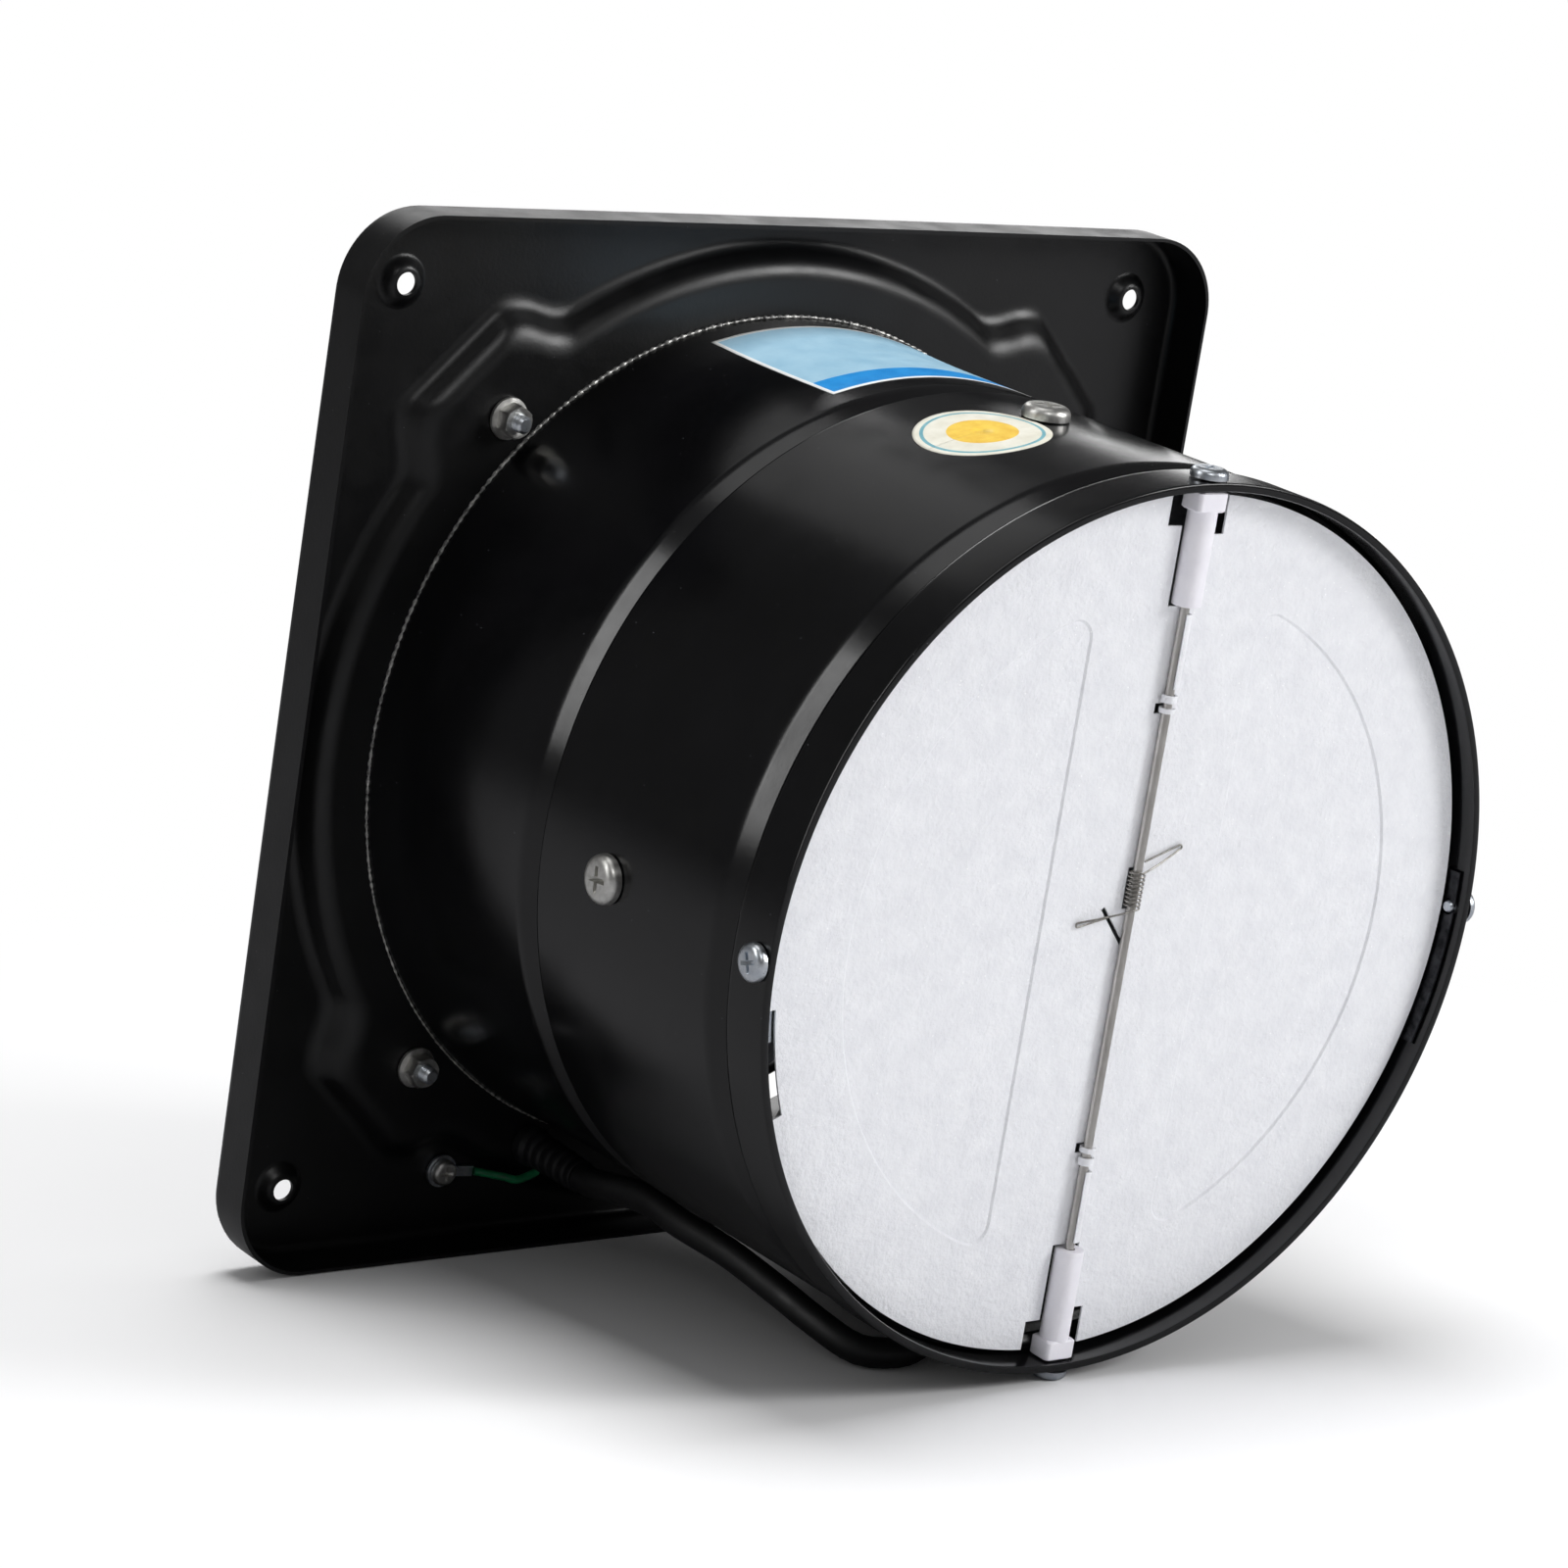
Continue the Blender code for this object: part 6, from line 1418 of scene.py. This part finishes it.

# Torsion spring: one unbroken wire wound round the rod, a hairpin leg on each flap's face, split at the
# coil's middle into two halves
springValues = {
    "wire": 0.45, "width": 3.85, "pitch": 0.92, "start": 5.6, "leftLeg": 14.0, "leftDrop": 2.9,
    "rightLeg": 12.0, "rightLift": 4.2, "hairpin": 0.5, "returnLeg": 10.0, "bendFrom": 2.1, "bendTo": 4.6,
}
spring = sized(springValues)
springTurns = 9
coilMean = (spring.width - spring.wire) / 2
legDepth = rod.bore - seat - spring.wire / 2


def legPoint(length, lift, share):
    depth = (coilMean + legDepth) * share**1.5 - coilMean
    return Vector((length * share, depth, lift * share))


legSteps = 12


def springLeg(length, lift, root, rise):
    # One leg from the coil to its tip, round a hairpin and back toward the rod
    points = [legPoint(length, lift, i / legSteps) + Vector((0, 0, root)) for i in range(1, legSteps + 1)]
    tip = points[-1] + Vector((0, 0, rise * spring.hairpin))
    along = Vector((length, 0, lift)).normalized()
    off = Vector((-along.z, 0, along.x)) * (1 if along.x > 0 else -1) * rise
    for i in range(1, 16):
        turn = radians(12) * i
        points.append(tip + spring.hairpin * (along * sin(turn) - off * cos(turn)))
    points.append(points[-1] - along * spring.returnLeg)
    return points


springPoints = list(reversed(springLeg(-spring.leftLeg, -spring.leftDrop, spring.start, -1)))
leftCount = len(springPoints)
perTurn = 32
for i in range(springTurns * perTurn + 1):
    turn = radians(-90) + 2 * pi * i / perTurn
    rise = spring.start + spring.pitch * i / perTurn
    springPoints.append(Vector((coilMean * cos(turn), coilMean * sin(turn), rise)))
springEnd = spring.start + springTurns * spring.pitch
springPoints += springLeg(spring.rightLeg, spring.rightLift, springEnd, 1)
middle = leftCount + springTurns * perTurn // 2
for name, part, body, way in (
    ("springLeftHalf", springPoints[: middle + 1], "left_flap_group", -1),
    ("springRightHalf", springPoints[middle:], "right_flap_group", 1),
):
    bm = bmesh.new()
    tube(bm, [rodHome + point for point in part], spring.wire / 2, 10)
    start, end = [
        fanToFloor @ (rodHome + Vector((way * out, 0, 0))) for out in (spring.bendFrom, spring.bendTo)
    ]
    mesh = meshFrom(name, bm, ["spring_steel"])
    show(name, mesh, nodes=["torsion_spring"], bend=(body, start, end))
print("stops and spring made")

# Motor lead inside, and the earth lead with its tag and screw beside the sleeve
wireValues = {
    "motorLead": 2.6, "leadTop": -8.8, "archFoot": -9.8, "archRadius": 4.5, "motorEntry": 34.0,
    "motorSpacing": 1.5, "earthWire": 2.0, "earthSpacing": 1.0, "bendWall": -12.0, "bendOutlet": -6.0,
    "tag": 4.0, "tagTail": 9.0, "tagSheet": 0.8, "tailHalf": 1.3,
}
wire = sized(wireValues)


def atSleeve(radius, reach):
    return Vector((radius * cos(sleeveAngle), -reach, radius * sin(sleeveAngle)))


bendRadius = wire.archRadius
archPoints = [atSleeve(lead.sleeveRadius, wire.leadTop)]
for i in range(19):
    turn = radians(10) * i
    radius = lead.sleeveRadius - bendRadius + bendRadius * cos(turn)
    archPoints.append(atSleeve(radius, wire.archFoot - bendRadius * sin(turn)))
route = [
    (lead.sleeveRadius - 2 * bendRadius, duct.lipWall + bendRadius),
    (bracket.bore * 0.94, bendRadius),
    (bracket.bore * 0.84, motor.capFace * 0.45),
    (bracket.bore * 0.66, motor.capFace * 0.62),
    (bracket.bore * 0.48, motor.capFace * 0.6),
    (wire.motorEntry + wire.motorLead, motor.capFace - bendRadius * 1.6),
    (wire.motorEntry + wire.motorLead * 0.2, motor.capFace - bendRadius * 0.8),
    (wire.motorEntry, motor.capFace - seat),
]
points = archPoints + smoothPath([atSleeve(*mark) for mark in route], wire.motorSpacing)
motorLead = cordCurve("motorLead", points, wire.motorLead, "black_rubber")
show("motorLead", motorLead, nodes=["motor_lead"])
tagLevel = plate.wallLevel + seat
tagPlace = onPlate(plate.earthRadius, earthAngle) @ Matrix.Rotation(radians(-5), 4, "Z")
tailRoot = atan(wire.tailHalf / wire.tag)
ear = [tailRoot + (2 * pi - 2 * tailRoot) * i / 40 for i in range(41)]
outline = [(wire.tag * cos(turn), wire.tag * sin(turn)) for turn in ear]
outline += [(wire.tagTail, -wire.tailHalf), (wire.tagTail, wire.tailHalf)]
bm = bmesh.new()
prism(bm, outline, tagLevel, tagLevel + wire.tagSheet, tagPlace)
hole = bmesh.new()
drill(hole, plate.earthHole, tagLevel - through, tagLevel + wire.tagSheet + through, 24, tagPlace)
bm = combined(bm, ("DIFFERENCE", hole))
addPiece("earthTag", bm, "zinc", nodes=["earth_tag"])
bm = panScrew(screwValues["earth"])
place = onPlate(plate.earthRadius, earthAngle, tagLevel + wire.tagSheet + seat)
bmesh.ops.transform(bm, matrix=place, verts=bm.verts)
addPiece("earthScrew", bm, "bright_steel", nodes=["earth_screw"])
half = wire.earthWire / 2
wireStart = tagPlace @ Vector((wire.tagTail + seat, 0, tagLevel + half))
wireSecond = tagPlace @ Vector((wire.tagTail + seat + wire.earthWire, 0, tagLevel + wire.earthWire))
wireSide = Vector((0.3, 0, -1)).normalized()
sleeveSpot = sleevePlace.translation + Vector((0, -lead.sleeveBase - wire.earthWire, 0))
sleeveSide = sleeveSpot + wireSide * (sleeve.collar + seat)
sleeveBelow = sleeveSpot + wireSide * (sleeve.collar + wire.earthWire * 0.9)
bends = []
for share, level, liftShare, dropShare in ((0.26, wire.bendWall, 3.4, 0), (0.55, wire.bendOutlet, 1, 0.5)):
    spot = wireSecond.lerp(sleeveBelow, share)
    bends.append((spot.x, -level - liftShare * wire.earthWire, spot.z - dropShare * wire.earthWire))
points = smoothPath([wireStart, wireSecond, *bends, sleeveBelow, sleeveSide], wire.earthSpacing)
earthLead = cordCurve("earthLead", points, wire.earthWire, "green_sheath")
show("earthLead", earthLead, nodes=["earth_lead"])
print("wires made")

# Bare labels on the duct: a blue rectangle on the neck and a round sticker near the outlet
labelValues = {
    "from": 106.5, "to": 64.0, "low": 1.0, "high": 47.0, "border": 1.1, "band": 9.0, "lift": 0.06,
    "film": 0.05,
}
stickerValues = {"angle": 101.5, "reach": 89.0, "radius": 15.3}


def onWall(bm, angle, reach, lift):
    radius = ductRadius(reach) + lift
    return bm.verts.new((radius * cos(angle), -reach, radius * sin(angle)))


def layered(name, rings, chooseSlot, slots):
    # Thin film with an outer face from a grid of places, coloured by where each face lies
    bm = bmesh.new()
    outer = [[onWall(bm, angle, reach, labelValues["lift"] * mm) for angle, reach in ring] for ring in rings]
    for i in range(len(rings) - 1):
        for j in range(len(rings[0]) - 1):
            face = bm.faces.new((outer[i][j], outer[i + 1][j], outer[i + 1][j + 1], outer[i][j + 1]))
            middle = [(rings[i][j][k] + rings[i + 1][j + 1][k]) / 2 for k in (0, 1)]
            face.material_index = slots.index(chooseSlot(*middle))
            face.smooth = True
    mesh = bpy.data.meshes.new(name)
    bmesh.ops.recalc_face_normals(bm, faces=bm.faces)
    bm.to_mesh(mesh)
    bm.free()
    for slot in slots:
        mesh.materials.append(surfaces[slot])
    made = show(name, mesh)
    film = made.modifiers.new("film", "SOLIDIFY")
    film.thickness = labelValues["film"] * mm
    film.offset = -1
    return made


angleMarks = np.linspace(radians(labelValues["from"]), radians(labelValues["to"]), 121)
borderAngle = labelValues["border"] * mm / duct.radius
angleMarks = np.sort(np.append(angleMarks, [angleMarks[0] - borderAngle, angleMarks[-1] + borderAngle]))[::-1]
low, high = labelValues["low"] * mm, labelValues["high"] * mm
border, band = labelValues["border"] * mm, labelValues["band"] * mm
reachMarks = sorted([*np.linspace(low, high, 60), low + border, high - border, high - band])


def labelSlot(angle, reach):
    edge = min(angleMarks[0] - angle, angle - angleMarks[-1]) * duct.radius
    if edge < border or reach < low + border or reach > high - border:
        return "labelWhite"
    return "labelBlue" if reach > high - band else "labelPale"


grid = [[(angle, reach) for angle in angleMarks] for reach in reachMarks]
layered("rectangularLabel", grid, labelSlot, ["labelWhite", "labelPale", "labelBlue"])
stickerShares = {"yellow": 0.5, "greenFrom": 0.84, "greenTo": 0.91}
stickerMarks = [0.0, 0.2, 0.4, 0.52, 0.7, 0.845, 0.9, 0.95, 1.0]
stickerAngle = radians(stickerValues["angle"])
stickerReach = stickerValues["reach"] * mm
stickerRadius = stickerValues["radius"] * mm
spots = [2 * pi * i / 96 for i in range(97)]
grid = []
for share in stickerMarks:
    r = max(share, 0.001) * stickerRadius
    ring = [(stickerAngle + r * cos(turn) / duct.radius, stickerReach + r * sin(turn)) for turn in spots]
    grid.append(ring)


def stickerSlot(angle, reach):
    share = sqrt(((angle - stickerAngle) * duct.radius) ** 2 + (reach - stickerReach) ** 2) / stickerRadius
    if share < stickerShares["yellow"]:
        return "stickerYellow"
    inRing = stickerShares["greenFrom"] < share < stickerShares["greenTo"]
    return "stickerGreen" if inRing else "stickerCream"


layered("roundSticker", grid, stickerSlot, ["stickerCream", "stickerGreen", "stickerYellow"])
print("labels made")

# CAD pieces carried over inside the motor take the detailed surfaces of the same slots
for name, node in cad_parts.items():
    if not node.hide_render:
        for i, material in enumerate(node.data.materials):
            node.data.materials[i] = surfaces[material.name.split(".")[0]]
print("carried over:", sorted(name for name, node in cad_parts.items() if not node.hide_render))

# Floor, soft lamps and white surroundings
# Here the lengths are in metres; fill is the light from all round, and glossFill what shiny pieces mirror
stageValues = {
    "floorHalf": 8.0, "floorColour": "#F6F6F7", "floorInPaint": "#9A9A9C", "fadeFrom": 0.2, "fadeTo": 0.5,
    "fill": 0.36, "glossFill": 0.08, "lampsAimAt": (0, 0, 0.12),
}
floorMesh = bpy.data.meshes.new("floor")
bm = bmesh.new()
half = stageValues["floorHalf"]
bm.faces.new([bm.verts.new((x * half, y * half, 0)) for x, y in ((-1, -1), (1, -1), (1, 1), (-1, 1))])
bm.to_mesh(floorMesh)
bm.free()
floor = bpy.data.objects.new("floor", floorMesh)
bpy.context.collection.objects.link(floor)
# White paper that takes the shadow near the fan and fades to plain white farther off
floorLook = bpy.data.materials.new("mattWhitePaper")
floorLook.use_nodes = True
tree = floorLook.node_tree
paper = tree.nodes["Principled BSDF"]
rays = addNode(tree, "ShaderNodeLightPath")
# Shiny pieces mirror the floor darker grey than it is: painted shade in its reflections
seen, mirrored = linear(stageValues["floorColour"]), linear(stageValues["floorInPaint"])
settings = {"data_type": "RGBA", 6: seen, 7: mirrored}
toned = addNode(tree, "ShaderNodeMix", settings, {0: rays.outputs["Is Glossy Ray"]}).outputs[2]
tree.links.new(toned, paper.inputs["Base Color"])
paper.inputs["Roughness"].default_value = 0.9
paper.inputs["Specular IOR Level"].default_value = 0.1
spot = addNode(tree, "ShaderNodeTexCoord").outputs["Object"]
distance = addNode(tree, "ShaderNodeVectorMath", {"operation": "LENGTH"}, {0: spot}).outputs["Value"]
settings = {"From Min": stageValues["fadeFrom"], "From Max": stageValues["fadeTo"]}
faded = addNode(tree, "ShaderNodeMapRange", settings, {"Value": distance}).outputs[0]
links = {0: faded, 1: rays.outputs["Is Camera Ray"]}
share = addNode(tree, "ShaderNodeMath", {"operation": "MULTIPLY"}, links).outputs[0]
glow = addNode(tree, "ShaderNodeEmission", {"Color": (1, 1, 1, 1), "Strength": 1.0}).outputs[0]
mixed = addNode(tree, "ShaderNodeMixShader", links={0: share, 1: paper.outputs[0], 2: glow}).outputs[0]
tree.links.new(mixed, tree.nodes["Material Output"].inputs["Surface"])
floorMesh.materials.append(floorLook)
# Directions are from the fan. The lamps that don't shine are seen only in shiny pieces: they give the paint
# its long highlights and leave the floor alone.
lampValues = [
    {
        "name": "neckStrip", "toward": (-0.846, 0.214, 0.488), "distance": 2.0, "size": (0.3, 1.6),
        "along": (-0.368, 0.088, -0.675), "power": 8, "shines": False,
    },
    {
        "name": "backStrip", "toward": (0.28, 0.77, 0.57), "distance": 2.2, "size": (0.7, 0.35),
        "along": (0, 0, 1), "power": 3, "shines": False,
    },
    {
        "name": "topSheen", "toward": (0.09, 0.63, 0.77), "distance": 2.2, "size": (0.8, 0.45),
        "along": (0, 0, 1), "power": 0.5, "shines": False,
    },
    {
        "name": "edgeGlow", "toward": (0.6, 0.755, 0.264), "distance": 2.2, "size": (0.7, 0.6),
        "along": (0, 0, 1), "power": 3.2, "shines": False,
    },
    {
        "name": "frontGlint", "toward": (-0.33, -0.7, 0.63), "distance": 2.2, "size": (0.5, 0.5),
        "along": (0, 0, 1), "power": 5, "shines": False,
    },
    {
        "name": "overheadGlint", "toward": (-0.08, 0.05, 1.0), "distance": 1.9, "size": (1.1, 0.9),
        "along": (0, 1, 0), "power": 4, "shines": False,
    },
    {
        "name": "overhead", "toward": (-0.08, 0.05, 1.0), "distance": 1.9, "size": (1.1, 0.9),
        "along": (0, 1, 0), "power": 30, "shines": True, "mirrored": False,
    },
    {
        "name": "rightFront", "toward": (0.62, -0.66, 0.42), "distance": 2.3, "size": (0.7, 0.9),
        "along": (0, 0, 1), "power": 26, "shines": True,
    },
]
for values in lampValues:
    lamp = bpy.data.lights.new(values["name"], "AREA")
    lamp.shape = "RECTANGLE"
    lamp.size, lamp.size_y = values["size"]
    lamp.energy = values["power"]
    made = bpy.data.objects.new(values["name"], lamp)
    bpy.context.collection.objects.link(made)
    back = Vector(values["toward"]).normalized()
    across = Vector(values["along"]).cross(back).normalized()
    turn = Matrix((across, back.cross(across), back)).transposed().to_4x4()
    aim = Vector(stageValues["lampsAimAt"])
    made.matrix_world = Matrix.Translation(aim + back * values["distance"]) @ turn
    made.visible_diffuse = values["shines"]
    made.visible_glossy = values.get("mirrored", True)
world = bpy.data.worlds.new("surroundings")
bpy.context.scene.world = world
world.use_nodes = True
tree = world.node_tree
tree.nodes.clear()
path = addNode(tree, "ShaderNodeLightPath")
settings = {"To Min": stageValues["fill"], "To Max": stageValues["glossFill"]}
ambient = addNode(tree, "ShaderNodeMapRange", settings, {"Value": path.outputs["Is Glossy Ray"]}).outputs[0]
links = {0: ambient, 1: path.outputs["Is Camera Ray"]}
strength = addNode(tree, "ShaderNodeMath", {"operation": "MAXIMUM"}, links).outputs[0]
background = addNode(tree, "ShaderNodeBackground", {"Color": (1, 1, 1, 1)}, {"Strength": strength})
addNode(tree, "ShaderNodeOutputWorld", links={"Surface": background.outputs[0]})
bpy.context.scene.view_settings.view_transform = "Standard"
print("stage set")
